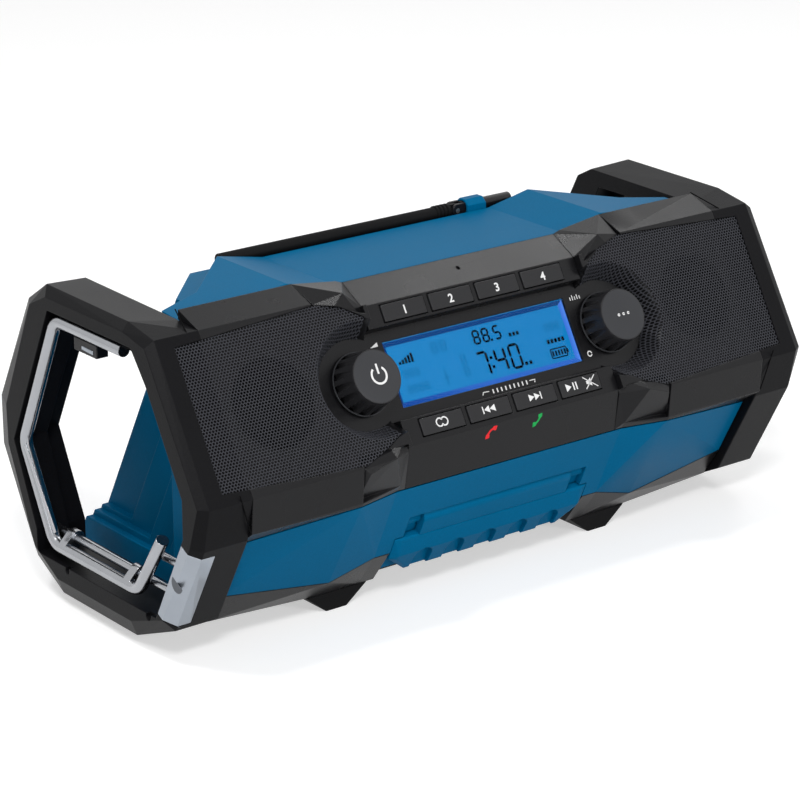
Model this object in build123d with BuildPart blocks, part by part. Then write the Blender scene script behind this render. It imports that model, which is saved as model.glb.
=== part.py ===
"""Jobsite radio: a long faceted housing between two end rings, with a leaning front.

Frame: X along the length (+X to the right as the front is faced), Y to the back, +Z up.
The origin is at the middle of the footprint, on the ground. Millimetres and degrees.

Points on the leaning front are given as (v, w): v runs up the lean from the front's foot
and w is the height above the front face, so a negative w is a recess.
"""
import os
from math import cos, radians, sin

from build123d import *

os.makedirs("parts", exist_ok=True)

# ---------------------------------------------------------------- driving dimensions
LENGTH = 356.0             # over both end rings
DEPTH = 169.0              # nose of the front to the back of the rings
ROOF_HEIGHT = 154.0        # roof plateaus beside the middle
RING_STEP = 1.5            # the end rings end below the plateaus
RING_WIDTH = 27.0          # an end ring, along the length
RIM_INSET = 4.5            # bevel of the ring's outer rim, along the length
RIM_DROP = 4.0             # the same bevel, seen on the end face
RING_LIFT = 1.6            # the rings hang clear of the ground
RIM_LIFT = 4.8
WALL = 3.0                 # moulded walls
FRONT_WALL = 4.0           # wall of the leaning front
PANEL = 1.8                # wall of the console
SEAT = 0.15                # gap where two fixed pieces meet
GAP = 0.4                  # gap round a moving piece
FIT = 0.05                 # radial clearance of a running pin or shaft

# leaning front
FACE_LEAN = 30.5           # from the vertical
FACE_FOOT_DROP = 71.7      # foot of the front, below the roof plateaus
FACE_RISE = 76.3           # along the lean
LIP_DROP = 16.8            # lower edge of the black band, below the front's foot
LIP_SETBACK = 1.4
ROOF_EDGE = 54.0           # front edge of the roof, behind the nose
GRILLE_DEPTH = 2.0         # recess for a grille
GRILLE_THICKNESS = 1.2
GRILLE_INSET = 13.2        # outer end of a grille, from the radio's end
GRILLE_IN = 66.0
GRILLE_LOW = 5.4
GRILLE_TOP = 71.2
GRILLE_TOP_RISE = 4.4      # the upper edge climbs towards the middle
GRILLE_LOW_FALL = 4.6      # and the lower edge falls
GRILLE_CORNER = 23.0       # length of the cut inner corners, along the length
GRILLE_CORNER_TOP = 5.7
GRILLE_CORNER_LOW = 5.6
GRILLE_MIDDLE = 75.6       # bend in the cut corners
GRILLE_MIDDLE_TOP = 0.4
GRILLE_MIDDLE_LOW = 0.4

# console between the two speakers
CONSOLE_HALF = 62.4
DECK_DEPTH = 10.5          # console deck below the front face
TOP_KEY_LEVEL = -4.2       # level of the upper key shelf
LOW_KEY_LEVEL = -3.5
TOP_KEY_LOW = 61.4
TOP_KEY_HIGH = 69.3
LOW_KEY_LOW = 7.3
LOW_KEY_HIGH = 15.2
TOP_SHELF = 70.6
TOP_STEP = 59.8
LOW_STEP = 16.6
LOW_SHELF = 4.5
STEP_DRAFT = 0.8
KEY_WIDTH = 24.2
KEY_PITCH = 27.2
KEY_TRAVEL = 1.2
KEY_PROUD = 0.7
KEY_CAP = 4.6              # cap height behind its shelf level
KEY_LIP = 1.0
KEY_LIP_THICKNESS = 1.2
KEY_STEM = 4.0
SWITCH_SIZE = 6.0
SWITCH_HEIGHT = 3.2
WINDOW_HALF = 53.5
WINDOW_LOW = 22.7
WINDOW_HIGH = 53.7
LENS_THICKNESS = 2.4
LENS_FLANGE = 2.5
LENS_FLANGE_THICKNESS = 1.2
LENS_RECESS = 0.4
DISPLAY_THICKNESS = 5.0
BOARD_THICKNESS = 1.6
KEY_BOARD_HALF = 84.0
KEY_BOARD_LOW = 3.0
KEY_BOARD_HIGH = 71.5
MIC_RADIUS = 1.0
MIC_X = -0.4
MIC_V = 78.7
POST_RADIUS = 2.0          # posts that carry the key board
POST_X = 59.2
POST_LOW = 20.0
POST_HIGH = 56.5

# knobs
KNOB_X = 72.6
KNOB_V = 37.5
KNOB_TOP = 4.8
KNOB_TOP_RADIUS = 12.4
KNOB_BASE_RADIUS = 14.6
KNOB_PRESS = 1.0
KNOB_FLUTES = 16
KNOB_FLUTE_DEPTH = 2.0
KNOB_FLUTE_RADIUS = 1.6
KNOB_FLUTE_HEIGHT = 12.6
WELL_RADIUS = 28.5
WELL_FLOOR_RADIUS = 21.8
WELL_WALL = 2.0
SHAFT_RADIUS = 3.0
SHAFT_TIP_RADIUS = 2.0
SHAFT_TIP = 1.6
SHAFT_GRIP = 10.0
BUSH_RADIUS = 4.5
BUSH_RISE = 1.0
ENCODER_SIZE = 13.0
ENCODER_LID = 1.0
PLUNGER_RADIUS = 5.0
PLUNGER_HEIGHT = 2.4

# speakers
SPEAKER_X = 124.4
SPEAKER_V = 38.0
SPEAKER_RADIUS = 22.9
SPEAKER_MOUTH = 20.6
SPEAKER_FLANGE = 2.0
BASKET_DEPTH = 20.0
BASKET_BACK_RADIUS = 14.0
BASKET_WALL = 1.2
CONE_THICKNESS = 0.8
CONE_BACK_RADIUS = 8.0
CONE_RADIUS = 19.2
CONE_LIFT = 2.0
MAGNET_RADIUS = 16.0
MAGNET_HEIGHT = 9.0
GASKET_THICKNESS = 1.0

# faceted shoulders between the speakers and the console
SHOULDER_OUT = 91.0
SHOULDER_PEAK_X = 75.0
SHOULDER_IN = 66.0
SHOULDER_STEP = 3.8        # back of a shoulder, below the roof plateau
SHOULDER_PROUD = 2.8
SHOULDER_NOSE_PROUD = 3.2
SHOULDER_FLANK_X = 86.4    # corner on the outer edge of the upper facet
SHOULDER_HIP_X = 66.9      # lower end of the crease beside the console
HIP_DROP = 15.6
CONSOLE_FOOT_SETBACK = 7.9
CONSOLE_FOOT_DROP = 18.6
CREASE_SETBACK = 1.9
CREASE_DROP = 18.3

# blue belly, roof, back and end walls
BELLY_WALL = 3.0
BELLY_BEVEL = 2.2          # inner corner of the belly's upper edge
BELLY_GAP = 0.5            # shadow line under the black band
BELLY_INSET = 1.0          # from the ring's inner face
BELLY_OUT_SETBACK = 11.5
BELLY_OUT_DROP = 24.2
BELLY_LOW_SETBACK = 27.4
BELLY_LOW_HEIGHT = 27.9
BELLY_CREASE_SETBACK = 27.6
BELLY_CREASE_HEIGHT = 19.1
BELLY_MID_SETBACK = 25.2
BELLY_MID_HEIGHT = 25.9
ROOF_DIP = 5.0             # middle of the roof below the plateaus
ROOF_MIDDLE_HALF = 67.5
ROOF_PLATEAU_X = 92.5
ROOF_BACK_SETBACK = 60.2   # from the back of the rings
ROOF_THICKNESS = 4.0
ROOF_FALL = 5.6            # the plateaus fall towards the rings
ROOF_CORNER = (98.5, 7.0)  # along X, and forward from the roof's back edge
ROOF_WAIST = (113.5, 27.3)
ROOF_TAIL = (2.3, 38.6)    # the same, but from the ring's inner face
LEDGE_STEP = 9.5           # back ledge below the plateaus
LEDGE_SETBACK = 49.0
BACK_SETBACK = 4.5
BACK_BEND = 50.0
BODY_FLOOR = 12.4
TAPER_LENGTH = 30.0
WALL_INSET = 48.0          # outer face of an end wall, from the radio's end
END_TOP_SETBACK = 81.0     # the end's back edge, at the height of the ledge
END_LOW_SETBACK = 9.5      # and at the floor
END_ROOF_SETBACK = 84.0    # and under the roof
HOUSING_GAP = 4.5          # mouth of the housing, behind the roof's edge
END_NOTCH = 1.5            # under the frame's upper edge
GUSSET_BACK_GAP = 28.5     # the end wall flares out to the ring from here, behind the roof's edge
GUSSET_FRONT_GAP = 8.5
STEP_DROP = 6.0            # top of the steps, below the ledge
STEP = 3.5                 # each step in an end wall
STEP_RIBS = (25.6, 47.1, 68.1)   # from the back edge forwards
STEP_LEDGES = (30.3, 27.9, 24.9)   # heights

# base and feet
SKID_BOTTOM = 9.2
SKID_THICKNESS = 3.0
SKID_SETBACK = 37.5
SKID_NOTCH_HALF = 60.0     # raised middle, behind the hatch's lower edge
SKID_NOTCH_RISE = 3.7
SKID_NOTCH_DEPTH = 21.0
SKID_END_RISE = 3.4        # front edge at the rings
SKID_END_REACH = 14.0
FOOT_TOP_IN = 61.5
FOOT_TOP_OUT = 96.5
FOOT_IN = 73.5
FOOT_OUT = 85.0
FOOT_DEPTH = 26.0
REAR_FOOT_SETBACK = 10.5

# battery pack in the back
PACK_WIDTH = 76.0
PACK_HEIGHT = 46.0
PACK_LENGTH = 106.0
PACK_LOW = 15.0
PACK_RAIL = 3.0
PACK_RAIL_HEIGHT = 5.0
PACK_RAIL_LIFT = 30.0
PACK_TOE = 8.0
PACK_SETBACK = 0.5
BAY_WALL = 2.0
PACK_LATCH_WIDTH = 22.0
PACK_LATCH_HEIGHT = 9.0
PACK_LATCH_DEPTH = 9.0
PACK_LATCH_PROUD = 1.5
PACK_LATCH_TRAVEL = 2.5
BLADE_LENGTH = 14.0
BLADE_THICKNESS = 0.8
BLADE_HEIGHT = 7.0
BLADE_PITCH = 12.0
BLADE_COUNT = 4
BLADE_DROP = 12.0
TERMINAL_DEPTH = 4.0

# hatch in the belly, over the backup cells
HATCH_TOP_HALF = 44.0
HATCH_HALF = 57.5
HATCH_LOW_HALF = 46.0
HATCH_BEVEL = 3.5
HATCH_AXIS_V = -25.6       # along the belly's slope, below the console's foot
HATCH_AXIS_W = -3.6
HATCH_BARREL = 4.4
HATCH_NUB = 2.3
HATCH_PROUD = 0.8
HATCH_BULGE = 2.3
HATCH_LOW_V = -55.0
HATCH_WIDE_V = -33.5
HATCH_BULGE_V = -43.0
HATCH_THICKNESS = 3.0
HATCH_CORNER = 9.5         # cut lower corners
HATCH_PIN_RADIUS = 1.25
HATCH_PIN_LENGTH = 12.0
HATCH_PIN_LAP = 4.0
HATCH_EAR = 9.0
BACKING_RISE = 9.0
BACKING_STEP_V = -38.0     # narrower below this, beside the skid
SCALLOP_COUNT = 5
SCALLOP_RADIUS = 5.4
SCALLOP_PITCH = 19.1
SCALLOP_V = -48.0
SCALLOP_FLOOR = -1.0
CELL_RADIUS = 5.25
CELL_LENGTH = 44.5
TRAY_WALL = 1.6
TRAY_LOW_V = -54.0
TRAY_HIGH_V = -32.0
CELL_PLAY = 0.6

# antenna behind the roof
MAST_RADIUS = 3.2
MAST_SETBACK = 54.9
MAST_RISE = 5.3            # above the back ledge
MAST_TIP_X = -88.0
MAST_PIVOT_X = 50.5
MAST_RIBS = 4
MAST_RIB_PITCH = 2.2
MAST_NECK_RADIUS = 3.4
MAST_RIB_RISE = 0.5
ANTENNA_END_RADIUS = 3.1
CLAMP_HALF = 5.0
TONGUE_THICKNESS = 3.0
ANTENNA_PIN_RADIUS = 1.2
ANTENNA_BASE_END = 84.5
HUMP_START = 55.4
HUMP_END = 67.0
HUMP_RISE = 4.5            # above the mast's axis

# hook in the left ring
WIRE_RADIUS = 3.0
WIRE_INSET = 3.1
WIRE_BEND = 9.0
HOOK_DROP = 14.2           # wire's top run, below the top of the ring
HOOK_FREE_SETBACK = 6.4    # behind the roof's edge
HOOK_TOP_SETBACK = 53.5    # from the back
HOOK_BEND_SETBACK = 22.2
HOOK_BEND_HEIGHT = 72.7
HOOK_LOW_SETBACK = 45.0
HOOK_LOW_HEIGHT = 28.5
HOOK_FRONT_SETBACK = 54.5  # from the nose
HOOK_STUB_SETBACK = 34.4
HOOK_STUB_HEIGHT = 58.7
PIVOT_INSET = 8.5
PIVOT_Z = 33.0
PIVOT_RADIUS = 2.0
PIVOT_BACK_SETBACK = 28.5
PIVOT_FRONT_SETBACK = 24.0
EYE_RADIUS = 3.8
EYE_WIDTH = 5.0
EYE_BACK_SETBACK = 51.0
EYE_FRONT_SETBACK = 65.0
STOP_PIN_RADIUS = 1.9
STOP_PIN_Z = 47.5
STOP_PIN_BACK_SETBACK = 43.5
STOP_PIN_FRONT_SETBACK = 16.5
CLIP_WIDTH = 19.0
CLIP_GAP_Y = 37.9          # behind the roof's edge
CLIP_THICKNESS = 2.4
CLIP_GAP = 1.0
CLIP_DROP = 6.0
PLATE_THICKNESS = 1.2
PLATE_LOW = 3.0            # along the leg, from its lower corner
PLATE_HIGH = 46.0
PLATE_REACH = 22.0
PLATE_RETURN = 7.0         # how far it wraps round the rim
REBATE_DEPTH = 6.5
RECESS_FLOOR = 21.8
OPENING_DROP = 15.0        # top of the hand gap, below the top of the ring
REBATE_DROP = 9.9
FLARE_DEPTH = 12.0         # the hand gap widens over this much of the ring
FLARE_RISE = 4.5

# sockets and fasteners
PORT_X = 66.0
PORT_Z = 26.0
PORT_WIDTH = 26.0
PORT_HEIGHT = 12.0
COVER_THICKNESS = 3.0
COVER_PIN_RADIUS = 0.8
COVER_PIN_LAP = 2.0
SOCKET_PITCH = 13.0
SOCKET_FLANGE = 1.5
SOCKET_RADIUS = 4.0
SOCKET_BORE = 1.8
SOCKET_LENGTH = 12.0
SCREW_RADIUS = 1.5
BOSS_RADIUS = 4.0
BOSS_HEIGHT = 9.0
SCREW_INSET = 22.0         # from the outer face of an end wall
SCREW_FRONT_SETBACK = 69.5
SCREW_BACK_SETBACK = 36.5
SCREW_HEAD_RADIUS = 3.0
SCREW_HEAD = 2.0
SCREW_LENGTH = 9.0
MAIN_BOARD_HALF = 60.0
MAIN_BOARD_DEPTH = 62.0
MAIN_BOARD_SETBACK = 42.5
BOARD_POST_X = 36.0
BOARD_POST_HEIGHT = 7.0

# ---------------------------------------------------------------- derived places
END_X = LENGTH / 2
RING_IN = END_X - RING_WIDTH
RIM_X = END_X - RIM_INSET
NOSE_Y = -DEPTH / 2
BACK_Y = DEPTH / 2
FACE_FOOT_HEIGHT = ROOF_HEIGHT - FACE_FOOT_DROP
LIP_HEIGHT = FACE_FOOT_HEIGHT - LIP_DROP
HIP_HEIGHT = FACE_FOOT_HEIGHT - HIP_DROP
GRILLE_OUT = END_X - GRILLE_INSET
BELLY_OUT_X = RING_IN - BELLY_INSET
WALL_X = END_X - WALL_INSET
TAPER_START = WALL_X - TAPER_LENGTH
SCREW_X = WALL_X - SCREW_INSET
RING_HEIGHT = ROOF_HEIGHT - RING_STEP
ROOF_MIDDLE_HEIGHT = ROOF_HEIGHT - ROOF_DIP
BACK_LEDGE_HEIGHT = ROOF_HEIGHT - LEDGE_STEP
SHOULDER_HEIGHT = ROOF_HEIGHT - SHOULDER_STEP
CONSOLE_FOOT = (NOSE_Y + CONSOLE_FOOT_SETBACK, FACE_FOOT_HEIGHT - CONSOLE_FOOT_DROP)
CREASE_FOOT = (NOSE_Y + CREASE_SETBACK, FACE_FOOT_HEIGHT - CREASE_DROP)
BELLY_OUT_TOP = (NOSE_Y + BELLY_OUT_SETBACK, FACE_FOOT_HEIGHT - BELLY_OUT_DROP)
BELLY_OUT_LOW = (NOSE_Y + BELLY_LOW_SETBACK, BELLY_LOW_HEIGHT)
BELLY_CREASE_LOW = (NOSE_Y + BELLY_CREASE_SETBACK, BELLY_CREASE_HEIGHT)
BELLY_MID_LOW = (NOSE_Y + BELLY_MID_SETBACK, BELLY_MID_HEIGHT)
ROOF_BACK = BACK_Y - ROOF_BACK_SETBACK
BACK_LEDGE = BACK_Y - LEDGE_SETBACK
BACK_FOOT = (BACK_Y - BACK_SETBACK, BACK_BEND)
END_BACK_TOP = BACK_Y - END_TOP_SETBACK
END_BACK_LOW = BACK_Y - END_LOW_SETBACK
END_BACK_ROOF = BACK_Y - END_ROOF_SETBACK
STEP_TOP = BACK_LEDGE_HEIGHT - STEP_DROP
SKID_FRONT = NOSE_Y + SKID_SETBACK
MAST_Y = BACK_Y - MAST_SETBACK
MAST_Z = BACK_LEDGE_HEIGHT + MAST_RISE
HUMP_TOP = MAST_Z + HUMP_RISE
HOOK_LEVEL = RING_HEIGHT - HOOK_DROP
LEAN_SIN = sin(radians(FACE_LEAN))
LEAN_COS = cos(radians(FACE_LEAN))
FACE = Plane(
    origin=(0, NOSE_Y, FACE_FOOT_HEIGHT), x_dir=(1, 0, 0), z_dir=(0, -LEAN_COS, LEAN_SIN)
)
ROOF_EDGE_Y = NOSE_Y + ROOF_EDGE
GUSSET_BACK = ROOF_EDGE_Y + GUSSET_BACK_GAP
GUSSET_FRONT = ROOF_EDGE_Y + GUSSET_FRONT_GAP
WIRE_X = -END_X + WIRE_INSET
HOOK_FREE_END = ROOF_EDGE_Y + HOOK_FREE_SETBACK
HOOK_TOP_CORNER = BACK_Y - HOOK_TOP_SETBACK
HOOK_BEND = (BACK_Y - HOOK_BEND_SETBACK, HOOK_BEND_HEIGHT)
HOOK_LOW_CORNER = (BACK_Y - HOOK_LOW_SETBACK, HOOK_LOW_HEIGHT)
HOOK_FRONT_CORNER = (NOSE_Y + HOOK_FRONT_SETBACK, HOOK_LOW_HEIGHT)
HOOK_STUB = (NOSE_Y + HOOK_STUB_SETBACK, HOOK_STUB_HEIGHT)
PIVOT_X = -END_X + PIVOT_INSET
PIVOT_BACK = BACK_Y - PIVOT_BACK_SETBACK
PIVOT_FRONT = NOSE_Y + PIVOT_FRONT_SETBACK
EYE_PLACES = (BACK_Y - EYE_BACK_SETBACK, NOSE_Y + EYE_FRONT_SETBACK)
STOP_PIN_BACK = NOSE_Y + STOP_PIN_BACK_SETBACK
STOP_PIN_FRONT = NOSE_Y + STOP_PIN_FRONT_SETBACK
CLIP_Y = ROOF_EDGE_Y + CLIP_GAP_Y
SCREW_FRONT = NOSE_Y + SCREW_FRONT_SETBACK
SCREW_BACK = BACK_Y - SCREW_BACK_SETBACK
MAIN_BOARD_BACK = BACK_Y - MAIN_BOARD_SETBACK
MAIN_BOARD_FRONT = MAIN_BOARD_BACK - MAIN_BOARD_DEPTH
HOUSING_FRONT = ROOF_EDGE_Y + HOUSING_GAP
FRAME_IN = CONSOLE_HALF + SEAT
FRAME_OUT = RING_IN - SEAT
REACH = 400.0              # longer than the whole radio, for cuts that go right through
SIDES = ((-1, "left"), (1, "right"))


def on_face(v, w=0.0):
    """Return the (Y, Z) of a point v up the leaning front and w above it."""
    y = NOSE_Y + v * LEAN_SIN - w * LEAN_COS
    z = FACE_FOOT_HEIGHT + v * LEAN_COS + w * LEAN_SIN
    return (y, z)


def at(x, outline):
    """Place a (Y, Z) outline in the plane X = x."""
    return [(x, y, z) for y, z in outline]


def offset_lines(outline, distance, closed):
    """Move a (Y, Z) outline to the left of its direction and return its new corners."""
    count = len(outline)
    lines = []
    for index in range(count if closed else count - 1):
        start = outline[index]
        end = outline[(index + 1) % count]
        along = Vector(end[0] - start[0], end[1] - start[1]).normalized()
        lines.append((-along.Y, along.X, along.X * start[1] - along.Y * start[0] + distance))
    corners = []
    if not closed:
        corners.append((outline[0][0] + lines[0][0] * distance, outline[0][1] + lines[0][1] * distance))
    pairs = zip(lines, lines[1:])
    if closed:
        pairs = zip(lines[-1:] + lines[:-1], lines)
    for one, two in pairs:
        cross = one[0] * two[1] - one[1] * two[0]
        y = (one[2] * two[1] - two[2] * one[1]) / cross
        z = (one[0] * two[2] - two[0] * one[2]) / cross
        corners.append((y, z))
    if not closed:
        last = outline[-1]
        corners.append((last[0] + lines[-1][0] * distance, last[1] + lines[-1][1] * distance))
    return corners


def wall_section(chain, thickness):
    """Return the closed section of a wall whose outer side follows an open chain."""
    return chain + offset_lines(chain, thickness, False)[::-1]


def hull(points):
    """Return a convex block from its corners."""
    with BuildPart() as piece:
        ConvexPolyhedron(points)
    return piece.part


def bar(x_low, x_high, outline):
    """Return a straight bar along X with a (Y, Z) section."""
    with BuildPart() as piece:
        with BuildSketch(Plane(origin=(x_low, 0, 0), x_dir=(0, 1, 0), z_dir=(1, 0, 0))):
            Polygon(*outline, align=None)
        extrude(amount=x_high - x_low)
    return piece.part


def prism(plane, outline, low, high):
    """Return a straight prism on a plane, between two levels above it."""
    with BuildPart() as piece:
        with BuildSketch(plane.offset(low)):
            Polygon(*outline, align=None)
        extrude(amount=high - low)
    return piece.part


def disc(plane, place, radius, low, high):
    """Return a round block on a plane, between two levels above it."""
    with BuildPart() as piece:
        with BuildSketch(plane.offset(low)):
            with Locations(place):
                Circle(radius)
        extrude(amount=high - low)
    return piece.part


def frustum(plane, place, low_radius, high_radius, low, high):
    """Return a tapered round block on a plane, between two levels above it."""
    with BuildPart() as piece:
        with BuildSketch(plane.offset(low)):
            with Locations(place):
                Circle(low_radius)
        with BuildSketch(plane.offset(high)):
            with Locations(place):
                Circle(high_radius)
        loft()
    return piece.part


def block(x_range, y_range, z_range):
    """Return a square block between three pairs of limits."""
    outline = rectangle(x_range, y_range)
    return prism(Plane.XY, outline, z_range[0], z_range[1])


def rectangle(x_range, y_range):
    """Return the corners of an upright rectangle between two pairs of limits."""
    return [
        (x_range[0], y_range[0]),
        (x_range[1], y_range[0]),
        (x_range[1], y_range[1]),
        (x_range[0], y_range[1]),
    ]


def rod(start, end, radius):
    """Return a round rod between two points."""
    along = Vector(*end) - Vector(*start)
    with BuildPart() as piece:
        with BuildSketch(Plane(origin=Vector(*start), z_dir=along)):
            Circle(radius)
        extrude(amount=along.length)
    return piece.part


def write(part, name):
    """Label a finished piece and write its STEP file."""
    part.label = name
    export_step(part, f"parts/{name}.step")


# ---------------------------------------------------------------- end rings
FACE_TOP = on_face(FACE_RISE)
FACE_FOOT = on_face(0)
LIP = (NOSE_Y + LIP_SETBACK, LIP_HEIGHT)
ROOF_EDGE_POINT = (ROOF_EDGE_Y, ROOF_HEIGHT - 0.4)
RING_FRONT = [
    (NOSE_Y + 28.5, 17.4),
    (NOSE_Y + 4.5, FACE_FOOT_HEIGHT - 20.3),
    FACE_FOOT,
    FACE_TOP,
]
RING_RIM = [
    (ROOF_EDGE_Y + 4.5, RING_HEIGHT - 0.8),
    (BACK_Y - 44.5, RING_HEIGHT),
    (BACK_Y - 28.5, RING_HEIGHT - 10.5),
    (BACK_Y, 88.0),
    (BACK_Y, 64.5),
    (BACK_Y - 26.5, 16.5),
    (BACK_Y - 48.0, RIM_LIFT),
    (NOSE_Y + 59.5, RIM_LIFT),
] + RING_FRONT
RING_INNER = [
    (ROOF_EDGE_Y - 0.5, RING_HEIGHT - 3.5),
    (BACK_Y - 41.0, RING_HEIGHT - 2.2),
    (BACK_Y - 31.0, RING_HEIGHT - 7.5),
    (BACK_Y, 86.0),
    (BACK_Y, 63.5),
    (BACK_Y - 22.5, 16.0),
    (BACK_Y - 42.0, RING_LIFT),
    (NOSE_Y + 59.5, RING_LIFT),
] + RING_FRONT
RING_END = [
    (ROOF_EDGE_Y + 2.5, RING_HEIGHT - RIM_DROP),
    (BACK_Y - 50.0, RING_HEIGHT - RIM_DROP),
    (BACK_Y - 36.0, RING_HEIGHT - 10.8),
    (BACK_Y - 11.5, 87.5),
    (BACK_Y - 12.0, 68.5),
    (BACK_Y - 31.5, 24.0),
    (BACK_Y - 50.5, 13.6),
    (NOSE_Y + 57.5, 13.6),
    (NOSE_Y + 32.0, 22.5),
    (NOSE_Y + 9.0, FACE_FOOT_HEIGHT - 19.3),
    (NOSE_Y + 2.5, FACE_FOOT_HEIGHT + 0.6),
    (FACE_TOP[0] + 1.0, FACE_TOP[1] - 3.1),
]
OPENING_TOP = RING_HEIGHT - OPENING_DROP
REBATE_TOP = RING_HEIGHT - REBATE_DROP
OPENING_FRONT = [
    (NOSE_Y + 37.0, RECESS_FLOOR),
    (NOSE_Y + 14.0, FACE_FOOT_HEIGHT - 16.3),
    (NOSE_Y + 14.0, FACE_FOOT_HEIGHT + 1.7),
    (NOSE_Y + 39.5, RING_HEIGHT - 24.3),
]
RING_OPENING = [
    (ROOF_EDGE_Y - 5.5, OPENING_TOP),
    (BACK_Y - 54.0, OPENING_TOP),
    (BACK_Y - 22.0, 74.0),
    (BACK_Y - 38.0, 31.0),
    (BACK_Y - 38.0, RECESS_FLOOR),
] + OPENING_FRONT
RING_FLARE = [
    (ROOF_EDGE_Y - 5.5, OPENING_TOP + FLARE_RISE),
    (BACK_Y - 47.5, OPENING_TOP + FLARE_RISE),
    (BACK_Y - 12.5, 72.0),
    (BACK_Y - 32.5, 31.0),
    (BACK_Y - 32.5, RECESS_FLOOR),
] + OPENING_FRONT
DRAIN_DEPTH = 2.5
DRAIN_SLOTS = [
    ((BACK_Y - 59.5, RECESS_FLOOR - 1.4), 1.6, (BACK_Y - 60.3, RECESS_FLOOR + 3.2)),
    ((NOSE_Y + 43.0, RECESS_FLOOR - 1.2), 1.9, (NOSE_Y + 39.5, RECESS_FLOOR + 4.0)),
]
HOOK_REBATE = [
    (ROOF_EDGE_Y - 3.5, REBATE_TOP),
    (BACK_Y - 51.2, REBATE_TOP),
    (BACK_Y - 17.2, 72.2),
    (BACK_Y - 34.0, 33.0),
    (BACK_Y - 34.0, RECESS_FLOOR),
] + OPENING_FRONT
LEG_FOOT = RING_RIM[8]
LEG_HEAD = RING_RIM[9]
LEG_PLANE = Plane(
    origin=(-END_X, *LEG_FOOT),
    x_dir=(0, LEG_HEAD[0] - LEG_FOOT[0], LEG_HEAD[1] - LEG_FOOT[1]),
    z_dir=(-1, 0, 0),
)


def ring_hull(inset):
    """Return an end ring's outer form without its openings, inset all round."""
    points = at(-END_X + inset, offset_lines(RING_END, -inset, True))
    points += at(-RIM_X, offset_lines(RING_RIM, -inset, True))
    points += at(-RING_IN, offset_lines(RING_INNER, -inset, True))
    return hull(points)


def grille_outline(side, growth):
    """Return a grille's outline on the front for one side, grown by a clearance."""
    corner = side * (GRILLE_IN + GRILLE_CORNER)
    top = GRILLE_TOP + growth
    low = GRILLE_LOW - growth
    return [
        (side * (GRILLE_OUT + growth), low),
        (side * (GRILLE_OUT + growth), top),
        (corner, top + GRILLE_TOP_RISE),
        (side * GRILLE_MIDDLE, top + GRILLE_MIDDLE_TOP),
        (side * (GRILLE_IN - growth), top - GRILLE_CORNER_TOP),
        (side * (GRILLE_IN - growth), low + GRILLE_CORNER_LOW),
        (side * GRILLE_MIDDLE, low + GRILLE_MIDDLE_LOW),
        (corner, low - GRILLE_LOW_FALL),
    ]


def grille_seat(side):
    """Return the block that makes room for a grille."""
    return prism(FACE, grille_outline(side, SEAT), -GRILLE_DEPTH, REACH)


opening = bar(-REACH, 0, RING_OPENING)
flare = bar(-RING_IN - FLARE_DEPTH, 0, RING_FLARE)
seat = grille_seat(-1)

# plain ring: hand gap through it, grille seat in its front edge
with BuildPart() as plain_ring:
    add(ring_hull(0))
    add(opening, mode=Mode.SUBTRACT)
    add(flare, mode=Mode.SUBTRACT)
    add(seat, mode=Mode.SUBTRACT)

with BuildPart() as right_end_ring:
    mirror(plain_ring.part, about=Plane.YZ)
write(right_end_ring.part, "right_end_ring")

# steel wear plate round the foot of the left ring's front leg
plate_area = rectangle((PLATE_LOW, PLATE_HIGH), (-PLATE_REACH, PLATE_REACH))
plate_room_area = rectangle((PLATE_LOW - SEAT, PLATE_HIGH + SEAT), (-PLATE_REACH, PLATE_REACH))
plate_wrap = RIM_INSET + PLATE_RETURN
pivot_room = rod((PIVOT_X, PIVOT_BACK, PIVOT_Z), (PIVOT_X, PIVOT_FRONT, PIVOT_Z), PIVOT_RADIUS + FIT)
stop_room = rod((PIVOT_X, STOP_PIN_BACK, STOP_PIN_Z), (PIVOT_X, STOP_PIN_FRONT, STOP_PIN_Z), STOP_PIN_RADIUS)
with BuildPart() as hook_plate:
    add(ring_hull(0))
    add(prism(LEG_PLANE, plate_area, -plate_wrap, WALL), mode=Mode.INTERSECT)
    add(ring_hull(PLATE_THICKNESS), mode=Mode.SUBTRACT)
    add(opening, mode=Mode.SUBTRACT)
write(hook_plate.part, "hook_plate")

with BuildPart() as plate_room:
    add(ring_hull(-WALL))
    add(prism(LEG_PLANE, plate_room_area, -plate_wrap - SEAT, WALL), mode=Mode.INTERSECT)
    add(ring_hull(PLATE_THICKNESS + SEAT), mode=Mode.SUBTRACT)

# left ring: rebate for the folded hook, seat for the plate, holes for the pins
with BuildPart() as left_end_ring:
    add(plain_ring.part)
    add(bar(-END_X - WALL, -END_X + REBATE_DEPTH, HOOK_REBATE), mode=Mode.SUBTRACT)
    add(plate_room.part, mode=Mode.SUBTRACT)
    add(pivot_room, mode=Mode.SUBTRACT)
    add(stop_room, mode=Mode.SUBTRACT)
    for middle, radius, tip in DRAIN_SLOTS:
        with BuildSketch(Plane(origin=(-END_X, 0, 0), x_dir=(0, 1, 0), z_dir=(1, 0, 0))):
            with Locations(middle):
                Circle(radius)
            with Locations(tip):
                Circle(radius / 4)
            make_hull()
        extrude(amount=DRAIN_DEPTH, mode=Mode.SUBTRACT)
write(left_end_ring.part, "left_end_ring")

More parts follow.
